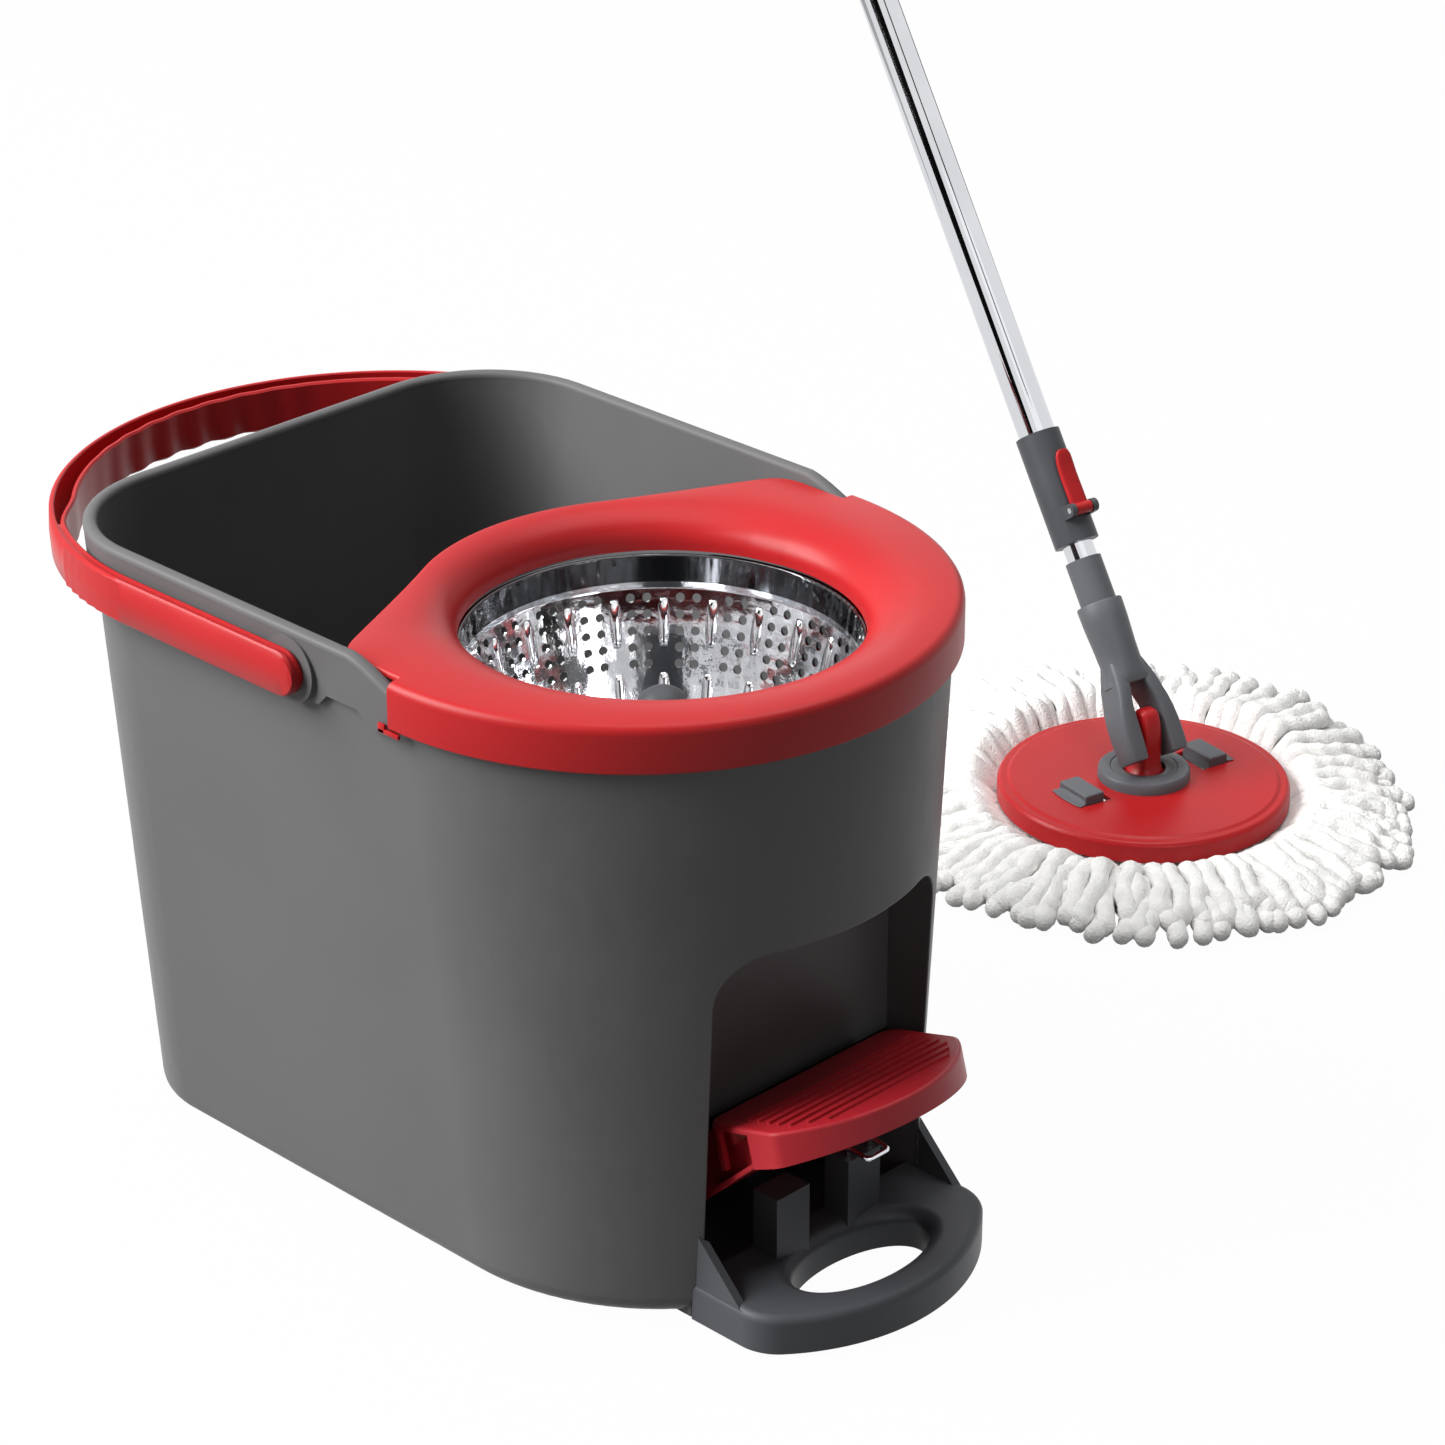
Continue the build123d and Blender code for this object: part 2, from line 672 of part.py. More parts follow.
with BuildPart() as pedal:
    with BuildSketch(tread_plane):
        tread_outline(0, 0)
    extrude(amount=-tread_skirt)
    top_edges = pedal.faces().sort_by(Axis(tread_plane.origin, tread_plane.z_dir))[-1].edges()
    fillet(top_edges, tread_edge)
    with BuildSketch(tread_plane.offset(-tread_wall)):
        tread_outline(tread_wall, tread_wall)
    extrude(amount=-tread_skirt, mode=Mode.SUBTRACT)
    nose_cut = [(-tread_back - loose_gap, -tread_skirt), (tread_front, -tread_nose),
                (tread_front + loose_gap, -tread_nose), (tread_front + loose_gap, -tread_skirt - loose_gap),
                (-tread_back - loose_gap, -tread_skirt - loose_gap)]
    nose_places = [tread_plane.from_local_coords(Vector(along, 0, up)) for along, up in nose_cut]
    side_plate([(place.X, place.Z) for place in nose_places], -tread_half - wall, tread_half + wall,
               Mode.SUBTRACT)
    with BuildSketch(tread_plane):
        for rib in range(tread_ribs):
            rib_x = tread_rib_start + tread_rib_step * rib
            with Locations((rib_x, 0)):
                SlotOverall(2 * (tread_reach(rib_x) - tread_rib_margin), tread_rib_width, rotation=90)
    extrude(amount=tread_rib_rise)
    with BuildSketch(tread_plane.offset(-tread_edge)):
        for rib in range(waffle_ribs):
            rib_x = (tread_back + tread_front) * (rib + 1) / (waffle_ribs + 1) - tread_back
            with Locations((rib_x, 0)):
                Rectangle(tread_rib_width, 2 * tread_reach(rib_x) - 2 * tread_wall)
    extrude(amount=-waffle_depth)
    for side in (-1, 1):
        open_length = tread_back - tread_corner - side_open
        with BuildSketch(tread_plane.offset(-tread_wall)):
            with Locations((-side_open - open_length / 2, side * tread_half)):
                Rectangle(open_length, 2 * tread_wall)
        extrude(amount=-tread_skirt, mode=Mode.SUBTRACT)
        with BuildSketch(tread_plane.offset(-tread_edge)):
            with Locations((-side_open + tread_wall / 2, side * (arm_y + tread_half) / 2)):
                Rectangle(tread_wall, tread_half - arm_y - tread_edge)
        extrude(amount=tread_edge - arm_depth)
        flange = sorted((side * arm_y, side * (tread_half - tread_edge)))
        side_plate([(arm_foot.X, arm_foot.Z), (flange_end.X, flange_end.Z),
                    (flange_end.X, flange_end.Z + tread_wall),
                    (arm_foot.X, arm_foot.Z + tread_wall)], *flange)
        arm = sorted((side * arm_y, side * (arm_y + pedal_arm)))
        side_plate([(tread_foot.X, tread_foot.Z), (arm_foot.X, arm_foot.Z),
                    (pedal_x, pedal_height - pedal_hub),
                    (pedal_x - pedal_hub / 2, pedal_height + pedal_hub / 2)], *arm)
        cross(pedal_x, pedal_height, pedal_hub, *sorted((side * (arm_y - pedal_arm), side * hub_end)))
    web_slip = tread_wall
    arm_middle = arm_y + pedal_arm / 2
    side_plate([(tread_foot.X, tread_foot.Z), (tread_foot.X + web_slip, tread_foot.Z - web_slip),
                (pedal_x + 2 * pedal_hub, pedal_height + pedal_hub),
                (pedal_x + 2 * pedal_hub - web_slip, pedal_height + pedal_hub + web_slip)],
               -arm_middle, arm_middle)
    with BuildSketch(Plane.XZ.offset(arm_y)):
        with Locations(((pedal_x + crank_x) / 2, (pedal_height + crank_height) / 2)):
            SlotCenterToCenter(crank, 2 * crank_end, rotation=90 + degrees(crank_turn))
    extrude(amount=pedal_arm)
    cross(crank_x, crank_height, crank_pin, -arm_middle, crank_pin_end)
    for side in (-1, 1):
        span = sorted((side * (arm_y - pedal_arm), side * hub_end))
        cross(pedal_x, pedal_height, pin_radius + running_fit, *span, mode=Mode.SUBTRACT)
save(pedal, "pedal")

with BuildPart() as pedal_pin:
    cross(pedal_x, pedal_height, pin_radius, -cheek_y - cheek_thickness, cheek_y + cheek_thickness)
save(pedal_pin, "pedal_pin")

# Return spring: coiled on the pin, one leg on the base's rest and one under the pedal's web
spring_plane = Plane((pedal_x, -coil_width / 2, pedal_height), x_dir=(-sin(spring_turn), 0, cos(spring_turn)),
                     z_dir=(0, 1, 0))
with BuildPart() as pedal_spring:
    with BuildLine() as spring_line:
        coil_path(spring_plane, spring_radius, spring_pitch, spring_turns, spring_leg)
    with BuildSketch(Plane(spring_line.line @ 0, z_dir=spring_line.line % 0)):
        Circle(spring_wire)
    sweep()
save(pedal_spring, "pedal_spring")

with BuildPart() as spring_staple:
    with BuildLine(Plane.XZ.offset(-post_y)) as staple_line:
        low = post_top - staple_height / 2
        left = post_x + spring_wire
        FilletPolyline((left, low), (left, post_top + staple_height / 2),
                       (left - staple_width, post_top + staple_height / 2), (left - staple_width, post_top),
                       radius=3 * spring_wire)
    with BuildSketch(Plane(staple_line.line @ 0, z_dir=staple_line.line % 0)):
        Circle(spring_wire)
    sweep()
save(spring_staple, "spring_staple")

# Rack: pushed along X by the crank, with teeth towards the layshaft
rack_pitch_line = lay_y - rack_module * lay_pinion_teeth / 2
rack_pitch = pi * rack_module
rack_low = crank_height - rack_height / 2
rack_back = rack_pitch_line - rack_depth
rack_travel = crank * radians(pedal_press)
rack_end = lay_x - rack_travel - 2 * rack_pitch
block_half = crank_pin + crank_end

with BuildPart() as rack:
    low_y = rack_pitch_line - tooth_fall * rack_module
    high_y = rack_pitch_line + tooth_rise * rack_module
    bar(rack_end, crank_x, rack_back, low_y, rack_low, rack_low + rack_height)
    bar(crank_x - block_half, crank_x + block_half, rack_back, low_y, rack_low - crank_pin,
        rack_low + rack_height + crank_pin)
    flank = tan(radians(pressure_angle)) * rack_module
    thick = (rack_pitch / 2 - backlash) / 2
    with BuildSketch(Plane.XY.offset(rack_low)):
        for tooth in range(rack_teeth):
            tooth_x = lay_x + (rack_lead - tooth) * rack_pitch
            root = thick + tooth_fall * flank
            tip = thick - tooth_rise * flank
            with BuildLine():
                Polyline((tooth_x - root, low_y), (tooth_x + root, low_y), (tooth_x + tip, high_y),
                         (tooth_x - tip, high_y), close=True)
            make_face()
    extrude(amount=rack_height)
    slot_half = crank_pin + slot_play
    bar(crank_x - slot_half, crank_x + slot_half, rack_back, 0, crank_height - 2 * crank_pin,
        crank_height + 2 * crank_pin, Mode.SUBTRACT)
save(rack, "rack")

# Layshaft: pinion from the rack, large gear to the drive pinion
lay_angle = degrees(atan2(-lay_y, -lay_x))
lay_top = frame_height + frame_thickness + bush_wall
lay_low = shaft_low

with BuildPart() as layshaft:
    post(lay_x, lay_y, lay_radius, lay_low, lay_top)
    gear(lay_x, lay_y, rack_module, lay_pinion_teeth, -90, rack_low - wall, rack_low + rack_height + wall / 2)
save(layshaft, "layshaft")

with BuildPart() as layshaft_gear:
    gear(lay_x, lay_y, gear_module, gear_teeth, lay_angle, gear_level, gear_level + gear_thickness)
    post(lay_x, lay_y, 2 * lay_radius, gear_level - wall, rack_low - wall)
    post(lay_x, lay_y, lay_radius, 0, rack_low, Mode.SUBTRACT)
    with Locations((lay_x, lay_y, gear_level)):
        with PolarLocations(gear_module * gear_teeth / 3, gear_windows):
            Cylinder(gear_window, 3 * gear_thickness, mode=Mode.SUBTRACT)
save(layshaft_gear, "layshaft_gear")

with BuildPart() as drive_pinion:
    gear(0, 0, gear_module, drive_teeth, lay_angle + 180 + 180 / drive_teeth, gear_level - wall / 2,
         gear_level + gear_thickness + wall / 2)
    post(0, 0, shaft_radius + running_fit, 0, tower_height, Mode.SUBTRACT)
save(drive_pinion, "drive_pinion")

# One-way clutch: race on the pinion, rollers, and a sleeve on the shaft
race_low = gear_level + gear_thickness + wall / 2
race_top = race_low + race_height
sleeve_outer = shaft_radius + clutch_sleeve_wall
roller_place = (race_inner + sleeve_outer) / 2

with BuildPart() as clutch_race:
    post(0, 0, race_radius, race_low, race_top)
    post(0, 0, race_inner, race_low + cover_thickness, race_top, Mode.SUBTRACT)
    post(0, 0, shaft_radius + running_fit, race_low, race_top, Mode.SUBTRACT)
save(clutch_race, "clutch_race")

with BuildPart() as clutch_rollers:
    with PolarLocations(roller_place, roller_count):
        with Locations((0, 0, (race_low + cover_thickness + race_top) / 2)):
            Cylinder(roller_radius, race_top - race_low - cover_thickness)
save(clutch_rollers, "clutch_rollers")

with BuildPart() as clutch_sleeve:
    post(0, 0, sleeve_outer, race_low + cover_thickness + soft_gap, race_top + wall)
    post(0, 0, shaft_radius, 0, tower_height, Mode.SUBTRACT)
save(clutch_sleeve, "clutch_sleeve")

# Gear frame over the base, with the rack's guide
with BuildPart() as gear_frame:
    xs = [place[0] for place in pillar_places]
    ys = [place[1] for place in pillar_places]
    bar(min(xs) - pillar_radius, max(xs) + pillar_radius, min(ys) - pillar_radius, max(ys) + pillar_radius,
        frame_height, frame_height + frame_thickness)
    for place_x, place_y in pillar_places:
        post(place_x, place_y, pillar_radius, plate_top, frame_height)
    guide_wall = rack_back - running_fit
    guide_back = rack_end - side_gap
    guide_front = crank_x - block_half - side_gap
    rail_low = rack_low - running_fit - wall
    bar(guide_back, guide_front, guide_wall - wall, guide_wall, rail_low, frame_height)
    bar(guide_back, guide_front, guide_wall, rack_pitch_line - 2 * rack_module, rail_low, rail_low + wall)
    post(0, 0, sleeve_outer + loose_gap, frame_height, frame_height + frame_thickness, Mode.SUBTRACT)
    post(lay_x, lay_y, lay_boss - wall, frame_height, frame_height + frame_thickness, Mode.SUBTRACT)
save(gear_frame, "gear_frame")

with BuildPart() as drive_cover:
    panel_front = niche_back - side_gap
    panel_half = niche_half - side_gap / 2
    panel_top = tower_roof
    bar(panel_front - cover_thickness, panel_front, -panel_half, panel_half, cover_low, panel_top)
    for side in (-1, 1):
        edge = sorted((side * panel_half, side * (panel_half - cover_thickness)))
        bar(panel_front - cover_return, panel_front, *edge, cover_low, panel_top)
    bar(panel_front - cover_return, panel_front, -panel_half, panel_half, panel_top - cover_thickness,
        panel_top)
save(drive_cover, "drive_cover")


def bush(x, y, inner, outer, low, high, name):
    with BuildPart() as piece:
        post(x, y, outer, low, high)
        post(x, y, inner, low, high, Mode.SUBTRACT)
    save(piece, name)


shaft_bore = shaft_radius + running_fit
bush(0, 0, shaft_bore, seal_radius, shaft_low, shaft_low + bush_length, "lower_shaft_bush")
bush(0, 0, shaft_bore, seal_radius, tower_roof - bush_length, tower_roof, "upper_shaft_bush")
bush(0, 0, shaft_bore, seal_radius, tower_roof, tower_height + bush_length / 2, "shaft_seal")
bush(lay_x, lay_y, lay_radius + running_fit, lay_boss - wall, shaft_low, shaft_low + bush_length,
     "lower_layshaft_bush")
bush(lay_x, lay_y, lay_radius + running_fit, lay_boss - wall, frame_height, frame_height + frame_thickness,
     "upper_layshaft_bush")

# Basket: shaft, perforated cup, chrome ring and centre post
post_inside = post_radius - wall
nut_level = post_rise - 3 * nut_height

with BuildPart() as drive_shaft:
    post(0, 0, shaft_radius, shaft_low, nut_level + nut_height)
save(drive_shaft, "drive_shaft")

with BuildPart() as basket_cup:
    with BuildSketch(Plane.XZ):
        with BuildLine():
            wall_line = FilletPolyline((shaft_radius, cup_floor), (cup_floor_radius, cup_floor),
                                       (cup_top_radius, ring_low), (cup_top_radius, ring_low + ring_wall),
                                       radius=cup_corner)
            offset(amount=cup_wall, side=Side.LEFT)
        make_face()
    revolve(axis=Axis.Z)
    top_row = ring_low - 2 * hole_radius
    rows = [(0, 0, top_row - row * hole_pitch) for row in range(hole_rows)]
    cut_reach = 2 * (cup_top_radius - cup_floor_radius)
    column = 360 / slot_count / 3
    for turn in (column, 2 * column):
        with PolarLocations(cup_top_radius, slot_count, start_angle=turn):
            with Locations(*rows):
                Cylinder(hole_radius, cut_reach, rotation=(0, 90, 0), mode=Mode.SUBTRACT)
    with PolarLocations(cup_top_radius, slot_count):
        with Locations((0, 0, ring_low - 2 * hole_radius - slot_length / 2)):
            Box(cut_reach, slot_width, slot_length, mode=Mode.SUBTRACT)
save(basket_cup, "basket_cup")

with BuildPart() as basket_ring:
    post(0, 0, ring_radius, ring_low, basket_top)
    post(0, 0, ring_radius - ring_wall, ring_low + ring_wall, basket_top, Mode.SUBTRACT)
    post(0, 0, cup_top_radius, ring_low, ring_low + ring_wall, Mode.SUBTRACT)
    fillet(basket_ring.edges().group_by(Axis.Z)[-1], ring_wall / 3)
save(basket_ring, "basket_ring")

with BuildPart() as centre_post:
    with BuildSketch(Plane.XZ):
        with BuildLine():
            flange_top_z = cup_floor + cup_wall + ring_wall
            Polyline((shaft_radius, cup_floor + cup_wall), (post_flange, cup_floor + cup_wall),
                     (post_flange, flange_top_z), (post_radius + ring_wall, flange_top_z + ring_wall),
                     (post_radius, flange_top_z + 3 * ring_wall), (post_radius, post_rise - post_radius / 2))
            RadiusArc((post_radius, post_rise - post_radius / 2), (0, post_rise), -post_dome)
            Polyline((0, post_rise), (0, nut_level + nut_height), (nut_radius, nut_level + nut_height),
                     (nut_radius, nut_level), (shaft_radius, nut_level), (shaft_radius, cup_floor + cup_wall))
        make_face()
    revolve(axis=Axis.Z)
save(centre_post, "centre_post")

with BuildPart() as hub_nut:
    with BuildSketch(Plane.XY.offset(nut_level)):
        RegularPolygon(nut_radius, 6)
        Circle(shaft_radius, mode=Mode.SUBTRACT)
    extrude(amount=nut_height)
save(hub_nut, "hub_nut")

with BuildPart() as drive_hub:
    post(0, 0, post_flange - wall, cup_floor - 2 * wall, cup_floor)
    post(0, 0, seal_radius, tower_height + bush_length / 2 + soft_gap, cup_floor)
    post(0, 0, shaft_radius, 0, cup_floor, Mode.SUBTRACT)
save(drive_hub, "drive_hub")

# Mop head, about its own upright axis: local Y is the tilt pin
yaw = radians(mop_yaw)
lean = radians(mop_lean)
mop_plane = Plane((mop_x, mop_y, 0), x_dir=(cos(yaw), -sin(yaw), 0), z_dir=(0, 0, 1))
mop_axis = Axis(mop_plane.origin, mop_plane.z_dir)
mop_section = Plane(mop_plane.origin, x_dir=mop_plane.x_dir, z_dir=-mop_plane.y_dir)
disc_low = disc_top - disc_plate
skirt_low = disc_top - disc_skirt
hub_top = disc_top + hub_height
swivel_bore = swivel_radius + running_fit


def mop_turning(points):
    with BuildSketch(mop_section) as outline:
        with BuildLine():
            Polyline(*points, close=True)
        make_face()
    revolve(outline.sketch, axis=mop_axis)


with BuildPart(mop_plane) as mop_disc:
    inside = disc_radius - disc_wall
    hub_inside = hub_radius - hub_wall
    groove_low = disc_top - disc_wall / 3
    mop_turning([(swivel_bore, disc_low), (inside, disc_low), (inside, skirt_low), (disc_radius, skirt_low),
                 (disc_radius, disc_top - disc_wall), (disc_radius - disc_wall / 2, groove_low),
                 (disc_groove, groove_low), (disc_groove - disc_wall / 2, disc_top), (hub_radius, disc_top),
                 (hub_radius, hub_top), (hub_inside, hub_top), (hub_inside, disc_top),
                 (swivel_bore, disc_top)])
    for side in (-1, 1):
        bar(-latch_width / 2 - soft_gap, latch_width / 2 + soft_gap,
            *sorted((side * (latch_place - latch_length / 2 - latch_travel - soft_gap),
                     side * (latch_place + latch_length / 2 + soft_gap))), 0, hub_top, Mode.SUBTRACT)
save(mop_disc, "mop_disc")

for side, name in ((-1, "latch_near"), (1, "latch_far")):
    with BuildPart(mop_plane) as latch:
        span = sorted((side * (latch_place - latch_length / 2), side * (latch_place + latch_length / 2)))
        bar(-latch_width / 2, latch_width / 2, *span, disc_low, disc_top + latch_height)
        fillet(latch.faces().sort_by(Axis.Z)[-1].edges(), loose_gap)
    save(latch, name)

knuckle_low = disc_top + soft_gap
knuckle_base = hub_radius - hub_wall - soft_gap
stem_low = disc_low - retainer_thickness - soft_gap

with BuildPart(mop_plane) as knuckle:
    post(0, 0, knuckle_base, knuckle_low, hub_top)
    post(0, 0, swivel_radius, stem_low, knuckle_low)
    bar(-knuckle_radius, knuckle_radius, -knuckle_width / 2, knuckle_width / 2, knuckle_low, tilt_height)
    cross(0, tilt_height, knuckle_radius, -knuckle_width / 2, knuckle_width / 2)
    bar(-knuckle_tab_half, knuckle_tab_half, -knuckle_width / 2, knuckle_width / 2, tilt_height,
        tilt_height + knuckle_tab)
    cross(0, tilt_height, tilt_pin + running_fit, -knuckle_width / 2, knuckle_width / 2, mode=Mode.SUBTRACT)
    post(0, 0, swivel_radius / 2, stem_low, stem_low + retainer_thickness, Mode.SUBTRACT)
save(knuckle, "knuckle")

with BuildPart(mop_plane) as swivel_retainer:
    post(0, 0, retainer_radius, stem_low - retainer_thickness, stem_low)
    post(0, 0, swivel_radius / 2, stem_low, stem_low + retainer_thickness)
save(swivel_retainer, "swivel_retainer")

with BuildPart(mop_plane) as refill_ring:
    strands_top = 2 * strand_step + strand_thick
    post(0, 0, ring_outer, strands_top, ring_top)
    post(0, 0, ring_inner, 0, disc_top, Mode.SUBTRACT)
save(refill_ring, "refill_ring")

# Strands in three layers on a backing: flat under the disc, the upper layers drooping to the floor
with BuildPart(mop_plane) as strand_backing:
    post(0, 0, ring_outer, 0, strands_top)
    post(0, 0, ring_inner, 0, strands_top, Mode.SUBTRACT)

strands = []
for layer, reach in enumerate(strand_reach):
    level = layer * strand_step
    tip = reach - strand_thick
    bend = (strand_flat + tip) / 2
    bend_level = level * strand_droop
    with BuildPart() as strand:
        with BuildSketch(mop_section.offset(-strand_width / 2)):
            with BuildLine():
                if layer:
                    high = level + strand_thick
                    bend_high = bend_level + strand_thick * strand_droop
                    Polyline((strand_root, level), (strand_flat, level), (bend, bend_level), (tip, 0),
                             (reach, 0), (bend + strand_thick, bend_high), (strand_flat, high),
                             (strand_root, high), close=True)
                else:
                    Polyline((strand_root, 0), (reach, 0), (reach, strand_thick), (strand_root, strand_thick),
                             close=True)
            make_face()
        extrude(amount=strand_width)
    for copy in range(strand_count):
        strands.append(strand.part.rotate(mop_axis, 360 / strand_count * (copy + layer / len(strand_reach))))

with BuildPart() as refill_strands:
    add([strand_backing.part] + strands)
save(refill_strands, "refill_strands")

# Handle, along the leaning pole: local Z runs up the pole and local Y is the tilt pin
tilt_point = mop_plane.from_local_coords(Vector(0, 0, tilt_height))
pole_up = mop_plane.x_dir * -sin(lean) + mop_plane.z_dir * cos(lean)
pole_plane = Plane(tilt_point, x_dir=mop_plane.x_dir * cos(lean) + mop_plane.z_dir * sin(lean), z_dir=pole_up)
pole_axis = Axis(tilt_point, pole_up)
pole_section = Plane(tilt_point, x_dir=pole_plane.x_dir, z_dir=-pole_plane.y_dir)
body_top = fork_legs + fork_body
sleeve_top = body_top + sleeve_length
collar_low = sleeve_top + collar_gap
collar_top = collar_low + collar_length
pole_low = collar_top - pole_overlap
pole_top = pole_low + pole_length
grip_low = pole_top - grip_length
tube_low = body_top - fork_body / 2
tube_bore = tube_radius + running_fit


def pole_turning(points):
    with BuildSketch(pole_section) as outline:
        with BuildLine():
            Polyline(*points, close=True)
        make_face()
    revolve(outline.sketch, axis=pole_axis)


with BuildPart(pole_plane) as fork:
    pole_turning([(0, fork_legs), (fork_low_radius, fork_legs), (fork_top_radius, body_top), (0, body_top)])
    fork_half = fork_gap / 2 + fork_leg
    bar(-knuckle_radius, knuckle_radius, -fork_half, fork_half, fork_legs - knuckle_radius,
        fork_legs + fork_leg)
    for side in (-1, 1):
        leg = sorted((side * fork_gap / 2, side * fork_half))
        bar(-knuckle_radius, knuckle_radius, *leg, -fork_toe, fork_legs)
        cross(0, 0, tilt_pin, *leg, mode=Mode.SUBTRACT)
    bar(-knuckle_radius, knuckle_radius, -fork_gap / 2, fork_gap / 2, 0, fork_legs - fork_bridge,
        Mode.SUBTRACT)
    post(0, 0, tube_radius, tube_low, body_top, Mode.SUBTRACT)
save(fork, "fork")

with BuildPart(pole_plane) as pivot_pin:
    cross(0, 0, tilt_pin, -fork_gap / 2 - fork_leg, fork_gap / 2 + fork_leg)
save(pivot_pin, "pivot_pin")

with BuildPart(pole_plane) as pole_sleeve:
    post(0, 0, sleeve_radius, body_top, sleeve_top)
    post(0, 0, tube_radius, body_top, sleeve_top, Mode.SUBTRACT)
save(pole_sleeve, "pole_sleeve")

with BuildPart(pole_plane) as inner_tube:
    post(0, 0, tube_radius, tube_low, tube_low + tube_length)
    post(0, 0, tube_radius - tube_wall, tube_low + tube_wall, tube_low + tube_length, Mode.SUBTRACT)
save(inner_tube, "inner_tube")

with BuildPart(pole_plane) as outer_tube:
    post(0, 0, pole_radius, pole_low, pole_top)
    post(0, 0, tube_bore, pole_low, pole_top, Mode.SUBTRACT)
save(outer_tube, "outer_tube")

with BuildPart(pole_plane) as clamp_insert:
    post(0, 0, pole_radius, collar_low, pole_low)
    post(0, 0, tube_bore, collar_low, pole_low, Mode.SUBTRACT)
save(clamp_insert, "clamp_insert")

lever_x = collar_radius + lever_thickness
lever_z = collar_low + collar_length / 4

with BuildPart(pole_plane) as clamp_collar:
    post(0, 0, collar_radius, collar_low, collar_top)
    for side in (-1, 1):
        ear = sorted((side * (lever_width / 2 + soft_gap), side * (lever_width / 2 + soft_gap + ear_width)))
        bar(0, lever_x, *ear, lever_z - lever_thickness, lever_z + lever_thickness)
        cross(lever_x, lever_z, lever_thickness, *ear)
        cross(lever_x, lever_z, lever_pin, *ear, mode=Mode.SUBTRACT)
    post(0, 0, pole_radius, collar_low, collar_top, Mode.SUBTRACT)
save(clamp_collar, "clamp_collar")

with BuildPart(pole_plane) as clamp_lever:
    lever_low = collar_radius + soft_gap
    bar(lever_low, lever_low + lever_thickness, -lever_width / 2, lever_width / 2, lever_z,
        lever_z + lever_length)
    cross(lever_x, lever_z, lever_thickness - soft_gap, -lever_width / 2, lever_width / 2)
    cross(lever_x, lever_z, lever_pin + running_fit, -lever_width / 2, lever_width / 2, mode=Mode.SUBTRACT)
save(clamp_lever, "clamp_lever")

with BuildPart(pole_plane) as lever_pin_piece:
    pin_half = lever_width / 2 + soft_gap + ear_width
    cross(lever_x, lever_z, lever_pin, -pin_half, pin_half)
save(lever_pin_piece, "lever_pin")

with BuildPart(pole_plane) as grip:
    post(0, 0, grip_radius, grip_low, pole_top)
    fillet(grip.edges(), 2 * loose_gap)
    post(0, 0, pole_radius, grip_low, pole_top, Mode.SUBTRACT)
save(grip, "grip")

with BuildPart(pole_plane) as hang_cap:
    post(0, 0, grip_radius, pole_top, pole_top + cap_length)
    fillet(hang_cap.edges(), grip_radius / 3)
    cross(0, pole_top + cap_length / 2, hang_hole, -grip_radius, grip_radius, mode=Mode.SUBTRACT)
save(hang_cap, "hang_cap")
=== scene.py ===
import json
import random
from math import acos, atan2, cos, hypot, pi, radians, sin, tau

import bmesh
import bpy
from mathutils import Matrix, Vector


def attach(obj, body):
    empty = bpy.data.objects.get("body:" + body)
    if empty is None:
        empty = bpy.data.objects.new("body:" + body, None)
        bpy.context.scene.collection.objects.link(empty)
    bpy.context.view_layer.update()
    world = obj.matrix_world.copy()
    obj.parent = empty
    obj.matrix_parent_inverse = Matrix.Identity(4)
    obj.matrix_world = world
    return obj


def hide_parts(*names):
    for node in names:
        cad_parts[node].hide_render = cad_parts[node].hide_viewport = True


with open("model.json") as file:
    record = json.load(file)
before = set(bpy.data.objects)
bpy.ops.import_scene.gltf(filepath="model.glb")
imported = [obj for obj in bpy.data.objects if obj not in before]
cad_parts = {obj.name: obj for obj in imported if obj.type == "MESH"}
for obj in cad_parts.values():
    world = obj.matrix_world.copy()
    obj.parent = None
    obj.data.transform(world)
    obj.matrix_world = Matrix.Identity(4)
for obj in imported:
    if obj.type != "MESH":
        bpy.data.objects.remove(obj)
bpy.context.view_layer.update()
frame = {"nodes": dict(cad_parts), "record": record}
cad = frame["nodes"]
bodies = frame["record"]["behaviour"]["bodies"]
bodyOf = {node: body for body, members in bodies.items() for node in members}
slotOf = {row["node"]: row["material_slot"] for row in frame["record"]["subparts"]}
scene = bpy.context.scene
scene.view_settings.view_transform = "Standard"
print("frame loaded:", len(cad), "nodes")


# Finishes: every one reads Object coordinates, so nothing slides on a moved part
noiseSet = {"broadDetail": 3, "fineDetail": 5, "from": (0.25, 0.75)}


def linear(colour):
    return [((c / 255 + 0.055) / 1.055) ** 2.4 if c > 10 else c / 255 / 12.92 for c in colour] + [1]


def wire(tree, source, output, target, socket):
    tree.links.new(source.outputs[output], target.inputs[socket])


def noiseNode(tree, coords, scale, detail):
    texture = tree.nodes.new("ShaderNodeTexNoise")
    texture.inputs["Scale"].default_value = scale
    texture.inputs["Detail"].default_value = detail
    wire(tree, coords, "Object", texture, "Vector")
    return texture


def rangeNode(tree, source, low, high):
    spread = tree.nodes.new("ShaderNodeMapRange")
    spread.interpolation_type = "SMOOTHERSTEP"
    spread.inputs["From Min"].default_value = noiseSet["from"][0]
    spread.inputs["From Max"].default_value = noiseSet["from"][1]
    spread.inputs["To Min"].default_value = low
    spread.inputs["To Max"].default_value = high
    wire(tree, source, "Fac", spread, "Value")
    return spread


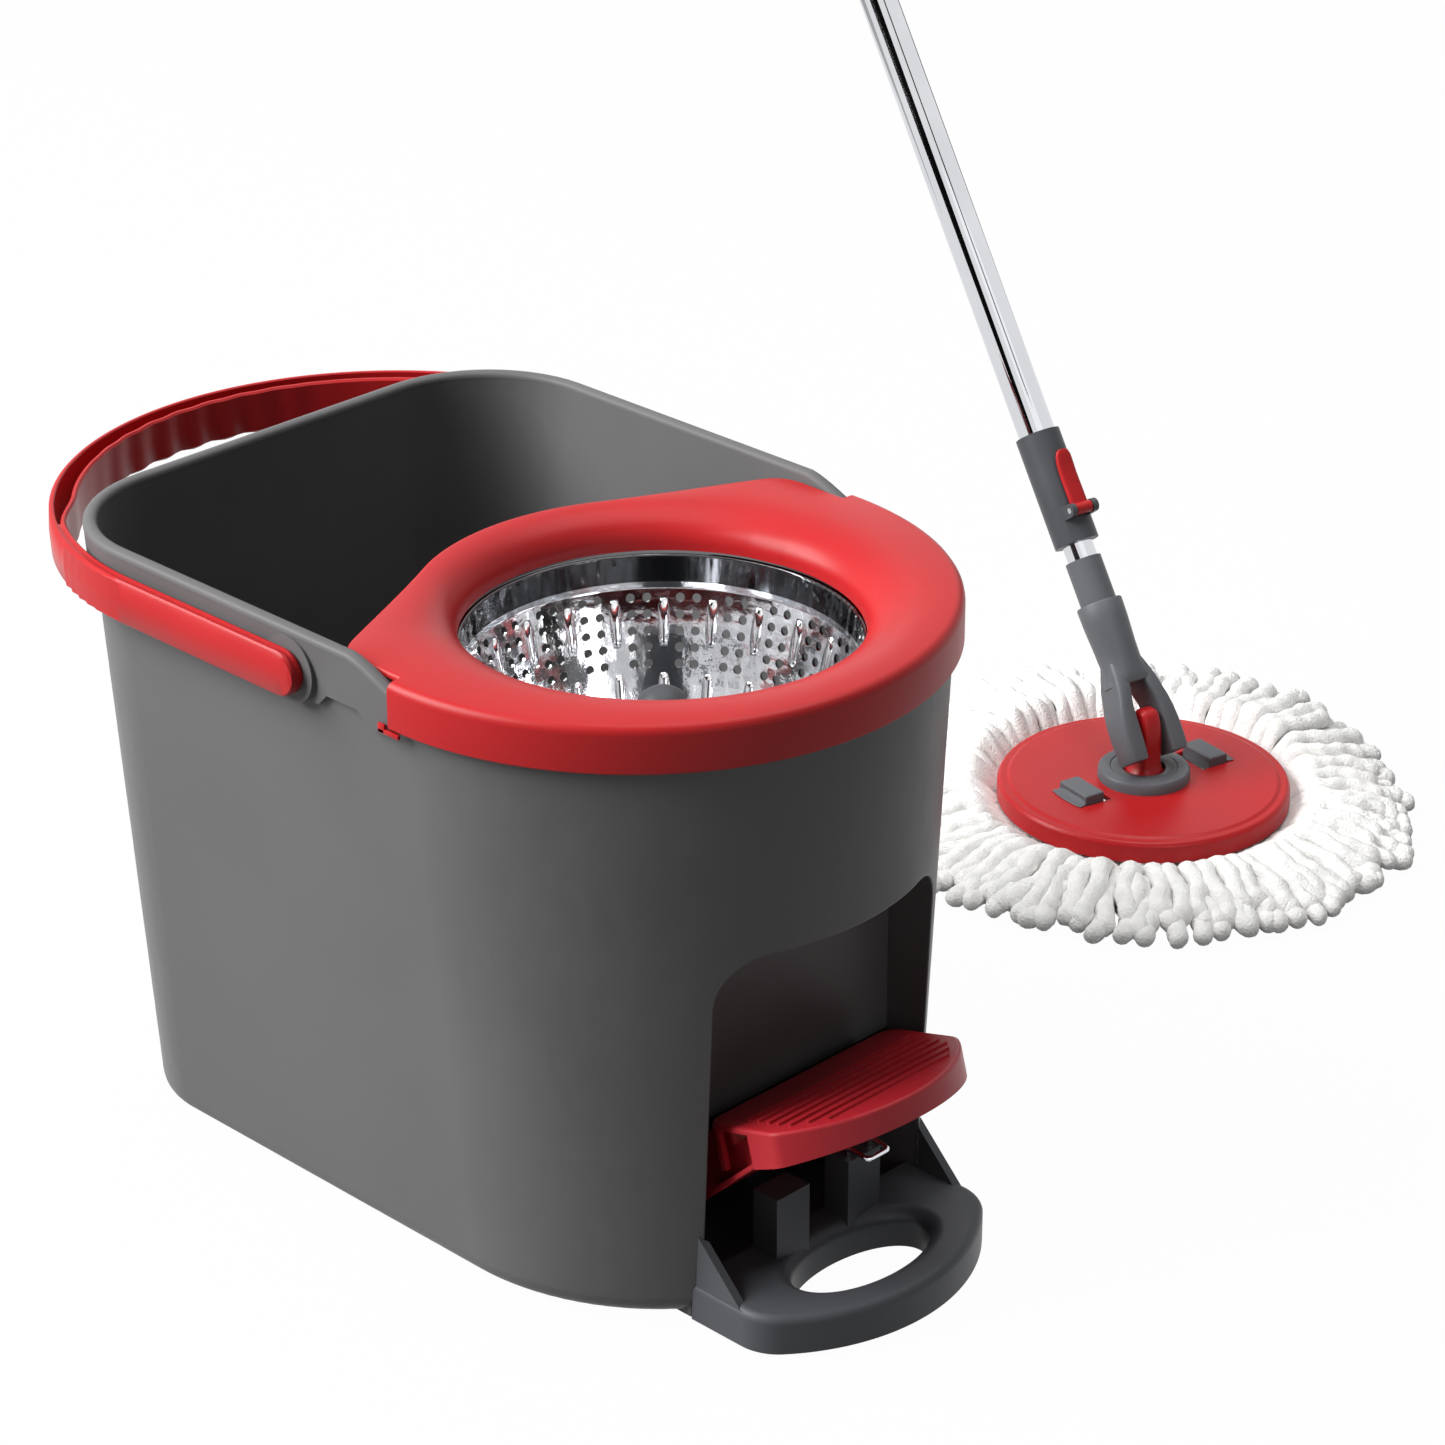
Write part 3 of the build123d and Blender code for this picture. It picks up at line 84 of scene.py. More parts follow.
def finishMaterial(name, look):
    material = bpy.data.materials.new(name)
    material.use_nodes = True
    tree = material.node_tree
    shader = tree.nodes["Principled BSDF"]
    coords = tree.nodes.new("ShaderNodeTexCoord")
    broad = noiseNode(tree, coords, look["patch"], noiseSet["broadDetail"])
    fine = noiseNode(tree, coords, look["grain"], noiseSet["fineDetail"])
    # A colour mix: sockets 6 and 7 are its two colours, and output 2 is the result
    tint = tree.nodes.new("ShaderNodeMix")
    tint.data_type = "RGBA"
    tint.inputs[6].default_value = linear(look["shade"])
    tint.inputs[7].default_value = linear(look["colour"])
    wire(tree, rangeNode(tree, broad, 0, 1), "Result", tint, "Factor")
    tree.links.new(tint.outputs[2], shader.inputs["Base Color"])
    wire(tree, rangeNode(tree, broad, *look["rough"]), "Result", shader, "Roughness")
    bump = tree.nodes.new("ShaderNodeBump")
    bump.inputs["Strength"].default_value = look["bump"]
    bump.inputs["Distance"].default_value = look["depth"]
    wire(tree, fine, "Fac", bump, "Height")
    wire(tree, bump, "Normal", shader, "Normal")
    shader.inputs["Metallic"].default_value = look.get("metal", 0)
    shader.inputs["Specular IOR Level"].default_value = look.get("shine", 0.5)
    shader.inputs["Sheen Weight"].default_value = look.get("sheen", 0)
    return material


finishes = {
    "tub_grey": {"colour": (96, 95, 96), "shade": (92, 91, 92), "patch": 14, "grain": 2600,
                 "rough": (0.4, 0.5), "bump": 0.25, "depth": 0.00012, "shine": 0.16},
    "lid_red": {"colour": (170, 27, 30), "shade": (163, 24, 27), "patch": 11, "grain": 1500,
                "rough": (0.33, 0.41), "bump": 0.12, "depth": 0.0001, "shine": 0.22},
    "pedal_red": {"colour": (172, 32, 42), "shade": (160, 28, 38), "patch": 16, "grain": 2400,
                  "rough": (0.36, 0.48), "bump": 0.3, "depth": 0.00012, "shine": 0.3},
    "base_grey": {"colour": (70, 72, 76), "shade": (66, 68, 72), "patch": 18, "grain": 2600,
                  "rough": (0.4, 0.52), "bump": 0.3, "depth": 0.00012, "shine": 0.25},
    "fork_grey": {"colour": (86, 88, 92), "shade": (82, 84, 88), "patch": 30, "grain": 2800,
                  "rough": (0.38, 0.48), "bump": 0.25, "depth": 0.0001, "shine": 0.3},
    "collar_grey": {"colour": (60, 62, 66), "shade": (56, 58, 62), "patch": 30, "grain": 2800,
                    "rough": (0.38, 0.48), "bump": 0.25, "depth": 0.0001, "shine": 0.3},
    "rubber_black": {"colour": (34, 34, 35), "shade": (28, 28, 29), "patch": 60, "grain": 1800,
                     "rough": (0.7, 0.85), "bump": 0.5, "depth": 0.0002},
    "steel": {"colour": (186, 187, 189), "shade": (172, 173, 176), "patch": 90, "grain": 900,
              "rough": (0.22, 0.34), "bump": 0.2, "depth": 0.0001, "metal": 1},
    "chrome": {"colour": (222, 223, 226), "shade": (214, 215, 219), "patch": 22, "grain": 500,
               "rough": (0.03, 0.07), "bump": 0.02, "depth": 0.0001, "metal": 1},
    "polished": {"colour": (232, 233, 235), "shade": (222, 223, 226), "patch": 40, "grain": 55,
                 "rough": (0.05, 0.1), "bump": 0.3, "depth": 0.0009, "metal": 1},
    # Basket ring: chrome with a low colour, a painted dark reflection
    "ring_painted_dark_reflection": {"colour": (88, 89, 91), "shade": (84, 85, 87), "patch": 22, "grain": 500,
                    "rough": (0.04, 0.07), "bump": 0.02, "depth": 0.0001, "metal": 1},
    "gear_white": {"colour": (226, 224, 216), "shade": (216, 213, 204), "patch": 40, "grain": 2200,
                   "rough": (0.35, 0.45), "bump": 0.2, "depth": 0.0001},
    "bush_tan": {"colour": (186, 168, 132), "shade": (174, 156, 122), "patch": 60, "grain": 2000,
                 "rough": (0.4, 0.5), "bump": 0.2, "depth": 0.0001},
    "microfibre": {"colour": (246, 245, 243), "shade": (236, 235, 233), "patch": 160, "grain": 800,
                   "rough": (0.8, 0.95), "bump": 1.0, "depth": 0.0012, "sheen": 0.25},
    "refill_white": {"colour": (232, 231, 228), "shade": (224, 223, 220), "patch": 30, "grain": 2000,
                     "rough": (0.4, 0.5), "bump": 0.2, "depth": 0.0001},
}
paint = {slot: finishMaterial(slot + "Finish", look) for slot, look in finishes.items()}
for node, piece in cad.items():
    piece.data.materials.clear()
    piece.data.materials.append(paint[slotOf[node]])
# The basket ring takes the dark chrome whose colour is a painted dark reflection
cad["basket_ring"].data.materials[0] = paint["ring_painted_dark_reflection"]
print("finishes:", len(paint))


# Helpers for new pieces
def newPiece(name, shape, body, slotName):
    mesh = bpy.data.meshes.new(name)
    shape.to_mesh(mesh)
    shape.free()
    mesh.polygons.foreach_set("use_smooth", [True] * len(mesh.polygons))
    mesh.materials.append(paint[slotName])
    piece = bpy.data.objects.new(name, mesh)
    scene.collection.objects.link(piece)
    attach(piece, body)
    return piece


# Runs one closed ring of edges through a row of sections, each a list of places
def loft(shape, sections, closed=False):
    first = bmesh.ops.create_circle(shape, segments=len(sections[0]), radius=1)["verts"]
    ring = first
    for step, section in enumerate(sections):
        if step:
            edges = [shape.edges.get((ring[k - 1], ring[k])) for k in range(len(ring))]
            made = set(bmesh.ops.extrude_edge_only(shape, edges=edges)["geom"])
            ring = [next(e.other_vert(v) for e in v.link_edges if e.other_vert(v) in made) for v in ring]
        for vert, place in zip(ring, section):
            vert.co = place
    ends = [[shape.edges.get((row[k - 1], row[k])) for k in range(len(row))] for row in (first, ring)]
    if closed:
        bmesh.ops.bridge_loops(shape, edges=ends[0] + ends[1])
    else:
        for end in ends:
            bmesh.ops.edgeloop_fill(shape, edges=end)
    bmesh.ops.recalc_face_normals(shape, faces=shape.faces)


# Adds one finished form to a larger one
def joinInto(target, part):
    spare = bpy.data.meshes.new("spare")
    part.to_mesh(spare)
    part.free()
    target.from_mesh(spare)
    bpy.data.meshes.remove(spare)


def smooth(value):
    value = max(0, min(1, value))
    return value * value * (3 - 2 * value)


# Mop head and pole: where they stand, and how the pole leans from the tilt pin
mopFrame = {"yaw": radians(12), "lean": radians(37), "head": (-0.079, 0.424, 0),
            "pin": (-0.079, 0.424, 0.052)}


def headMatrix(look):
    return Matrix.Translation(look["head"]) @ Matrix.Rotation(-look["yaw"], 4, "Z")


def poleMatrix(look):
    turned = Matrix.Translation(look["pin"]) @ Matrix.Rotation(-look["yaw"], 4, "Z")
    return turned @ Matrix.Rotation(-look["lean"], 4, "Y")


# Curved step on the outer side of a latch, low over the disc
footSet = {"inner": 0.0458, "outer": 0.0512, "middle": 0.4, "low": 0.02706, "high": 0.0295, "edge": 0.0277,
           "halfTurn": 13.5, "steps": 12}


def latchFoot(shape, look, side):
    step = bmesh.new()
    sections = []
    middle = look["inner"] * (1 - look["middle"]) + look["outer"] * look["middle"]
    profile = ((look["inner"], look["low"]), (look["outer"], look["low"]),
               (look["outer"], look["edge"]), (middle, look["edge"]), (look["inner"], look["high"]))
    for k in range(look["steps"] + 1):
        turn = radians(90 + look["halfTurn"] * (2 * k / look["steps"] - 1))
        sections.append([Vector((r * cos(turn), side * r * sin(turn), z)) for r, z in profile])
    loft(step, sections)
    bmesh.ops.transform(step, matrix=headMatrix(mopFrame), verts=step.verts)
    joinInto(shape, step)


# A CAD node's own form with its edges eased, as a moulding has
cleanSet = {"join": 0.000002, "flat": 0.6, "lipAngle": 40, "lipSteps": 5, "profile": 0.5}


def easedNode(node, name, ease):
    shape = bmesh.new()
    shape.from_mesh(cad[node].data)
    bmesh.ops.remove_doubles(shape, verts=shape.verts, dist=cleanSet["join"])
    bmesh.ops.dissolve_limit(shape, angle_limit=radians(cleanSet["flat"]), verts=shape.verts,
                             edges=shape.edges)
    if "lip" in ease:
        low, high = ease["lip"]
        bent = radians(cleanSet["lipAngle"])
        lip = [edge for edge in shape.edges
               if len(edge.link_faces) == 2 and edge.calc_face_angle() > bent
               and all(low[k] < vert.co[k] < high[k] for vert in edge.verts for k in range(3))]
        bmesh.ops.bevel(shape, geom=lip, offset=ease["lipRound"], segments=cleanSet["lipSteps"],
                        profile=cleanSet["profile"], affect="EDGES", clamp_overlap=True)
    if "foot" in ease:
        latchFoot(shape, footSet, ease["foot"])
    piece = newPiece(name, shape, bodyOf[node], slotOf[node])
    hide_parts(node)
    piece.data.set_sharp_from_angle(angle=radians(ease["angle"]))
    bevel = piece.modifiers.new("easedEdges", "BEVEL")
    bevel.limit_method = "ANGLE"
    bevel.angle_limit = radians(ease["angle"])
    bevel.width = ease["width"]
    bevel.segments = ease["steps"]
    bevel.profile = cleanSet["profile"]
    level = piece.modifiers.new("evenNormals", "WEIGHTED_NORMAL")
    level.keep_sharp = True
    return piece


easedEdges = {
    "tub": {"name": "tubShell", "width": 0.0016, "steps": 3, "angle": 40, "lipRound": 0.0045,
            "lip": ((0.085, -0.0665, 0.002), (0.13, 0.0665, 0.1775))},
    "pedal": {"name": "pedalTread", "width": 0.0005, "steps": 2, "angle": 40},
    "base": {"name": "baseMoulding", "width": 0.0008, "steps": 2, "angle": 40},
    "mop_disc": {"name": "discPlate", "width": 0.0006, "steps": 3, "angle": 30},
    "latch_near": {"name": "latchNear", "width": 0.0004, "steps": 2, "angle": 40, "foot": -1},
    "latch_far": {"name": "latchFar", "width": 0.0004, "steps": 2, "angle": 40, "foot": 1},
    "clamp_collar": {"name": "clampCollar", "width": 0.0008, "steps": 3, "angle": 40,
                     "finish": "collar_grey"},
}
for node, ease in easedEdges.items():
    eased = easedNode(node, ease["name"], ease)
    if "finish" in ease:
        eased.data.materials[0] = paint[ease["finish"]]
print("eased mouldings:", len(easedEdges))


# Rim roll: the rounded bead along the top of the tub's wall, down over the two ears
rimSet = {"half": 0.134, "back": -0.25, "corner": 0.058, "top": 0.291, "earX": -0.043, "endX": -0.0185,
          "earDrop": 0.0088, "earCurve": 1.3, "cornerSteps": 14, "earSteps": 6, "sharp": 50,
          "section": ((-0.00312, -0.0014), (-0.00306, 0), (-0.0024, 0.0009), (-0.0013, 0.0014), (0, 0.0016),
                      (0.0013, 0.0014), (0.0024, 0.0009), (0.00306, 0), (0.00312, -0.0014))}


def rimPath(look):
    side = []
    for step in range(look["earSteps"] + 1):
        share = 1 - step / look["earSteps"]
        side.append((look["earX"] + (look["endX"] - look["earX"]) * share, look["half"],
                     look["top"] - look["earDrop"] * share ** look["earCurve"], (0, 1)))
    for step in range(look["cornerSteps"] + 1):
        turn = radians(90 + 90 * step / look["cornerSteps"])
        out = (cos(turn), sin(turn))
        side.append((look["back"] + look["corner"] + look["corner"] * out[0],
                     look["half"] - look["corner"] + look["corner"] * out[1], look["top"], out))
    return [(x, -y, z, (n[0], -n[1])) for x, y, z, n in side] + side[::-1]


def rimRoll(look):
    sections = []
    for x, y, z, out in rimPath(look):
        sections.append([Vector((x + out[0] * n, y + out[1] * n, z + up)) for n, up in look["section"]])
    shape = bmesh.new()
    loft(shape, sections)
    piece = newPiece("rimRoll", shape, "bucket", "tub_grey")
    piece.data.set_sharp_from_angle(angle=radians(look["sharp"]))


rimRoll(rimSet)
print("rim roll done")

# Spring staple: a wire loop on the far post
stapleSet = {"path": ((0.0955, 0.0155, 0.047), (0.0955, 0.0155, 0.0546), (0.1072, 0.0155, 0.0532),
                      (0.1072, 0.0285, 0.0532), (0.0955, 0.0285, 0.0546), (0.0955, 0.0285, 0.047)),
             "wire": 0.0012, "bend": 0.0026, "bendSteps": 5, "sides": 10}


def bentPath(look):
    corners = [Vector(place) for place in look["path"]]
    line = [corners[0]]
    for before, here, after in zip(corners, corners[1:], corners[2:]):
        start = here + (before - here).normalized() * look["bend"]
        end = here + (after - here).normalized() * look["bend"]
        for step in range(look["bendSteps"] + 1):
            t = step / look["bendSteps"]
            line.append(start * (1 - t) ** 2 + here * (2 * t * (1 - t)) + end * t**2)
    return line + [corners[-1]]


def wireStaple(look):
    line = bentPath(look)
    side = Vector((0, 1, 0))
    sections = []
    for k, place in enumerate(line):
        ahead = (line[min(k + 1, len(line) - 1)] - line[max(k - 1, 0)]).normalized()
        side = (side - ahead * side.dot(ahead)).normalized()
        other = ahead.cross(side)
        turns = [tau * n / look["sides"] for n in range(look["sides"])]
        sections.append([place + (side * cos(t) + other * sin(t)) * look["wire"] for t in turns])
    shape = bmesh.new()
    loft(shape, sections)
    piece = newPiece("wireStaple", shape, bodyOf["spring_staple"], "chrome")
    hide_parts("spring_staple")


wireStaple(stapleSet)
print("staple done")

# Lid: one ring from the hole's lip over the rolled bowl and flat band, down the skirt and back underneath
lidSet = {"arcX": -0.015, "radius": 0.1375, "sideX": -0.018, "sideY": 0.1303, "tip": (-0.0545, 0.1301),
          "back": (-0.0936, 0.0498), "arrive": (-0.47, -0.883), "hole": 0.0857, "crest": 0.112,
          "crestLow": 0.1035, "crestFrom": 0.106, "crestOver": 0.027, "top": 0.288, "plate": 0.003,
          "skirt": 0.021, "wall": 0.0025, "bowlLow": 0.2713, "bowlRise": 0.003, "lipRise": 0.004,
          "round": 0.0042, "backRound": 0.002, "hem": 0.0008, "seam": 0.0004, "under": 0.001, "skin": 0.0001,
          "frontSteps": 72, "backSteps": 48, "sideSteps": 22, "bowlSteps": 8, "roundSteps": 4, "sharp": 38,
          "hooks": (((0.0125, 0.0016, 0.0022), (-0.0182, 0.13677, 0.2652)),
                    ((0.0042, 0.0016, 0.0042), (-0.02235, 0.13677, 0.2662))), "hookRound": 0.0005,
          "hookSteps": 2, "tipRound": 0.011, "tipLift": 0.0001, "tipSteps": 6}


def lidOutline(look):
    half = pi - acos((look["arcX"] - look["sideX"]) / look["radius"])
    edge = []
    for step in range(look["frontSteps"] + 1):
        turn = half * (2 * step / look["frontSteps"] - 1)
        edge.append((look["arcX"] + look["radius"] * cos(turn), look["radius"] * sin(turn), True))
    side = [(look["sideX"], look["sideY"], False)]
    start, end = Vector(look["tip"]), Vector(look["back"])
    gap = (end - start).length
    run = (end - start).normalized()
    corner, begin = start.copy(), start + Vector((look["tipRound"], look["tipLift"]))
    start = corner + run * look["tipRound"]
    for step in range(look["tipSteps"]):
        t = step / look["tipSteps"]
        spot = begin * (1 - t) ** 2 + corner * (2 * t * (1 - t)) + start * t**2
        side.append((spot.x, spot.y, False))
    leave, arrive = run * gap, Vector(look["arrive"]) * gap
    for step in range(look["sideSteps"]):
        t = step / look["sideSteps"]
        spot = start * (2 * t**3 - 3 * t**2 + 1) + leave * (t**3 - 2 * t**2 + t)
        spot += end * (3 * t**2 - 2 * t**3) + arrive * (t**3 - t**2)
        side.append((spot.x, spot.y, False))
    reach = hypot(*look["back"])
    first = atan2(look["back"][1], look["back"][0])
    rear = []
    for step in range(look["backSteps"] + 1):
        turn = first + (tau - 2 * first) * step / look["backSteps"]
        rear.append((reach * cos(turn), reach * sin(turn), False))
    return edge + side + rear + [(x, -y, front) for x, y, front in reversed(side)]


def lidRing(look, outline):
    top, plateLow = look["top"], look["top"] - look["plate"] + look["skin"]
    rings = []
    lip = look["hole"] + look["wall"]
    polar = [(atan2(y, x), hypot(x, y), front) for x, y, front in outline]

    def row(radius, level):
        spots = []
        for turn, reach, front in polar:
            r = radius(reach, front)
            spots.append(Vector((r * cos(turn), r * sin(turn), level(front))))
        rings.append(spots)

    def crest(reach):
        rise = smooth((reach - look["crestFrom"]) / look["crestOver"])
        return look["crestLow"] + (look["crest"] - look["crestLow"]) * rise

    row(lambda reach, front: look["hole"], lambda front: look["bowlLow"])
    bowlStart = look["bowlLow"] + look["bowlRise"]
    for step in range(look["bowlSteps"] + 1):
        t = radians(90 * step / look["bowlSteps"])
        row(lambda reach, front: crest(reach) - (crest(reach) - look["hole"]) * cos(t),
            lambda front: bowlStart + (top - look["bowlLow"] - look["bowlRise"]) * sin(t))
    edgeRound, backRound = look["round"], look["backRound"]
    for step in range(look["roundSteps"] + 1):
        t = radians(90 * step / look["roundSteps"])
        row(lambda reach, front: reach - (edgeRound if front else backRound) * (1 - sin(t)),
            lambda front: top - (edgeRound if front else backRound) * (1 - cos(t)))
    low = top - look["skirt"]
    hem, wall = look["hem"], look["wall"]
    row(lambda reach, front: reach, lambda front: low + hem if front else plateLow + look["seam"])
    row(lambda reach, front: reach - hem, lambda front: low if front else plateLow)
    row(lambda reach, front: reach - wall, lambda front: low if front else plateLow)
    row(lambda reach, front: reach - wall - look["skin"], lambda front: plateLow)
    row(lambda reach, front: min(crest(reach) + look["under"], reach - wall - look["seam"]),
        lambda front: plateLow)
    row(lambda reach, front: lip, lambda front: look["bowlLow"] + look["lipRise"])
    row(lambda reach, front: lip, lambda front: look["bowlLow"])
    return rings


def lidShell(look):
    shape = bmesh.new()
    loft(shape, lidRing(look, lidOutline(look)), closed=True)
    for side in (-1, 1):
        for extent, (x, y, z) in look["hooks"]:
            hook = bmesh.ops.create_cube(shape, size=1)["verts"]
            bmesh.ops.scale(shape, vec=extent, verts=hook)
            bmesh.ops.translate(shape, vec=(x, side * y, z), verts=hook)
            edges = {edge for vert in hook for edge in vert.link_edges}
            bmesh.ops.bevel(shape, geom=list(edges), offset=look["hookRound"],
                            segments=look["hookSteps"], profile=cleanSet["profile"], affect="EDGES")
    piece = newPiece("lidShell", shape, "bucket", "lid_red")
    piece.data.set_sharp_from_angle(angle=radians(look["sharp"]))
    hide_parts("lid")


lidShell(lidSet)
print("lid shell done")

# Bail: a channel section run round the back of the tub, with finger waves inside and ribs near one bend
bailSet = {"pivotX": -0.079, "arcX": -0.179, "outside": 0.144, "strap": 0.006, "channel": 0.012,
           "wall": 0.0024, "height": 0.02, "level": 0.274, "end": 0.0098, "endFull": 1.02, "endSteps": 6,
           "floor": 0.0028, "floorGap": 0.0004, "channelTurn": 62, "channelBlend": 14,
           "straightSteps": 14, "arcSteps": 120, "waves": 9, "waveTurn": 34, "waveDepth": 0.0005,
           "waveMiddle": 0.6, "waveLow": 0.8, "ribs": 7, "ribDepth": 0.0009, "ribTurn": 22,
           "crease": 0.0005, "ease": 0.0009, "shut": 0.0002, "sharp": 42}


# Each place has its way out, its turn on the arc if it is there, and how far it is past the pivot
def bailPath(look):
    runs = []
    length = look["pivotX"] - look["arcX"]
    steps = look["endSteps"]
    ends = [sin(radians(90 * k / steps)) * look["end"] for k in range(steps, 0, -1)]
    for side in (-1, 1):
        y = side * look["outside"]
        run = [(look["pivotX"] + out, y, (0, side), None, out) for out in ends]
        for step in range(look["straightSteps"]):
            x = look["pivotX"] - length * step / look["straightSteps"]
            run.append((x, y, (0, side), None, 0))
        runs.append(run)
    arc = []
    for step in range(look["arcSteps"] + 1):
        swept = 180 * step / look["arcSteps"]
        turn = radians(-90 - swept)
        out = (cos(turn), sin(turn))
        arc.append((look["arcX"] + look["outside"] * out[0], look["outside"] * out[1], out, swept - 90, 0))
    return runs[0] + arc + list(reversed(runs[1]))


def bailHandle(look):
    sections = []
    wall, gap = look["wall"], look["floorGap"]
    for x, y, out, turn, past in bailPath(look):
        opened = 0 if turn is None else smooth((look["channelTurn"] - abs(turn)) / look["channelBlend"])
        wave = 0
        if turn is not None and abs(turn) < look["waveTurn"]:
            share = 1 - (turn / look["waveTurn"]) ** 2
            wave = look["waveDepth"] * share * sin(look["waves"] * pi * turn / look["waveTurn"])
        rib = 0
        if turn is not None and -90 <= turn < look["ribTurn"] - 90:
            rib = look["ribDepth"] * max(0, sin(tau * look["ribs"] * (turn + 90) / look["ribTurn"]))
        half = (look["height"] / 2) * (1 - (past / (look["end"] * look["endFull"])) ** 2) ** 0.5
        wide = look["strap"] + (look["channel"] - look["strap"]) * opened + wave
        floor = half - gap - (2 * half - look["floor"] - gap) * opened
        ease = min(look["ease"], half / 3)
        crease = look["crease"] if half > 4 * ease else 0
        brim = half - ease / 2 if opened else half - look["shut"]
        outline = [(rib, -half + ease), (rib + crease, -ease / 3), (rib + crease, ease / 3),
                   (rib, half - ease), (-ease, half), (-wall + ease / 2, half), (-wall, brim),
                   (-wall, floor), (-wide + wall, floor), (-wide + wall, brim),
                   (-wide + wall - ease / 2, half), (-wide + ease, half), (-wide, half - ease),
                   (-wide - wave * look["waveMiddle"], 0), (-wide - wave, -half + ease),
                   (-wide + ease, -half - wave * look["waveLow"]), (-ease, -half)]
        sections.append([Vector((x + out[0] * n, y + out[1] * n, look["level"] + z)) for n, z in outline])
    shape = bmesh.new()
    loft(shape, sections)
    piece = newPiece("bailHandle", shape, "bail", "lid_red")
    piece.data.set_sharp_from_angle(angle=radians(look["sharp"]))
    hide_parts("bail")


bailHandle(bailSet)
print("bail done")

# Mop joint: pieces drawn about the tilt pin and moved to the leaning pole or the upright head
jointSet = {"rowSteps": 20, "bodySteps": 28, "turnedSteps": 48, "sharp": 44}


# Rounded-box outline: half widths and how square it is, where 2 is round
def roundedRow(level, centre, half, square, steps):
    row = []
    for k in range(steps):
        turn = tau * k / steps
        c, s = cos(turn), sin(turn)
        row.append(Vector((centre[0] + half[0] * (abs(c) ** (2 / square)) * (1 if c >= 0 else -1),
                           centre[1] + half[1] * (abs(s) ** (2 / square)) * (1 if s >= 0 else -1), level)))
    return row


def turnedRows(profile, steps):
    turns = [tau * k / steps for k in range(steps)]
    return [[Vector((r * cos(t), r * sin(t), z)) for t in turns] for r, z in profile]


# Fork: a turned body that parts into two legs beside the knuckle
forkSet = {"body": ((0.0702, 0.0117, 0.0117, 2), (0.0695, 0.0121, 0.0121, 2), (0.06, 0.0119, 0.0119, 2),
                    (0.046, 0.0111, 0.0111, 2), (0.037, 0.0104, 0.0109, 2.1), (0.031, 0.0099, 0.012, 2.4),
                    (0.0262, 0.0095, 0.0133, 3), (0.0256, 0.009, 0.0128, 3)),
           "leg": ((0.043, 0.002, 0.0088, 0.004), (0.036, 0.003, 0.0104, 0.0066),
                   (0.0262, 0.004, 0.0128, 0.0092), (0.019, 0.0058, 0.0142, 0.0096),
                   (0.015, 0.0068, 0.0155, 0.0094), (0.008, 0.007, 0.017, 0.009),
                   (0.0, 0.007, 0.0179, 0.0084), (-0.007, 0.0071, 0.0181, 0.0078),
                   (-0.0126, 0.0073, 0.0182, 0.007), (-0.0138, 0.0077, 0.0178, 0.0066)),
           "legSquare": 6}


def forkLegs(look):
    shape = bmesh.new()
    steps = jointSet["bodySteps"]
    loft(shape, [roundedRow(z, (0, 0), (hx, hy), square, steps) for z, hx, hy, square in look["body"]])
    for side in (-1, 1):
        rows = []
        for z, inner, outer, hx in look["leg"]:
            rows.append(roundedRow(z, (0, side * (inner + outer) / 2), (hx, (outer - inner) / 2),
                                   look["legSquare"], jointSet["rowSteps"]))
        loft(shape, rows)
    bmesh.ops.transform(shape, matrix=poleMatrix(mopFrame), verts=shape.verts)
    piece = newPiece("forkLegs", shape, "handle", "fork_grey")
    piece.data.set_sharp_from_angle(angle=radians(jointSet["sharp"]))
    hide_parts("fork")


forkLegs(forkSet)

# Knuckle: the upright tab that the fork tilts on
knuckleSet = {"rows": ((0.0274, 0.0116, 0.0116, 2), (0.0296, 0.0112, 0.0108, 2),
                       (0.032, 0.0094, 0.0082, 2.6), (0.0355, 0.0082, 0.0066, 3.4),
                       (0.044, 0.0079, 0.0061, 4), (0.052, 0.0078, 0.006, 4),
                       (0.058, 0.0066, 0.0058, 4), (0.0622, 0.0052, 0.0054, 4),
                       (0.0642, 0.0036, 0.0047, 4), (0.065, 0.0016, 0.003, 4))}


def knuckleTab(look):
    shape = bmesh.new()
    steps = jointSet["bodySteps"]
    loft(shape, [roundedRow(z, (0, 0), (hx, hy), square, steps) for z, hx, hy, square in look["rows"]])
    bmesh.ops.transform(shape, matrix=headMatrix(mopFrame), verts=shape.verts)
    piece = newPiece("knuckleTab", shape, "swivel", "lid_red")
    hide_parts("knuckle")


knuckleTab(knuckleSet)

# Hub: a cap that turns with the knuckle, inside a ring on the disc
hubSet = {"cap": ((0.0112, 0.0274), (0.0112, 0.0322), (0.0118, 0.0327), (0.0146, 0.0329), (0.0168, 0.0329),
                  (0.0172, 0.0327), (0.0172, 0.0274)),
          "ring": ((0.0173, 0.0268), (0.0173, 0.0327), (0.0177, 0.0331), (0.021, 0.033), (0.0228, 0.0327),
                   (0.0236, 0.0316), (0.0238, 0.0268))}


def hubRing(name, profile, body):
    shape = bmesh.new()
    loft(shape, turnedRows(profile, jointSet["turnedSteps"]), closed=True)
    bmesh.ops.transform(shape, matrix=headMatrix(mopFrame), verts=shape.verts)
    piece = newPiece(name, shape, body, "fork_grey")
    piece.data.set_sharp_from_angle(angle=radians(jointSet["sharp"]))


hubRing("swivelCap", hubSet["cap"], "swivel")
hubRing("hubRing", hubSet["ring"], "mop_head")

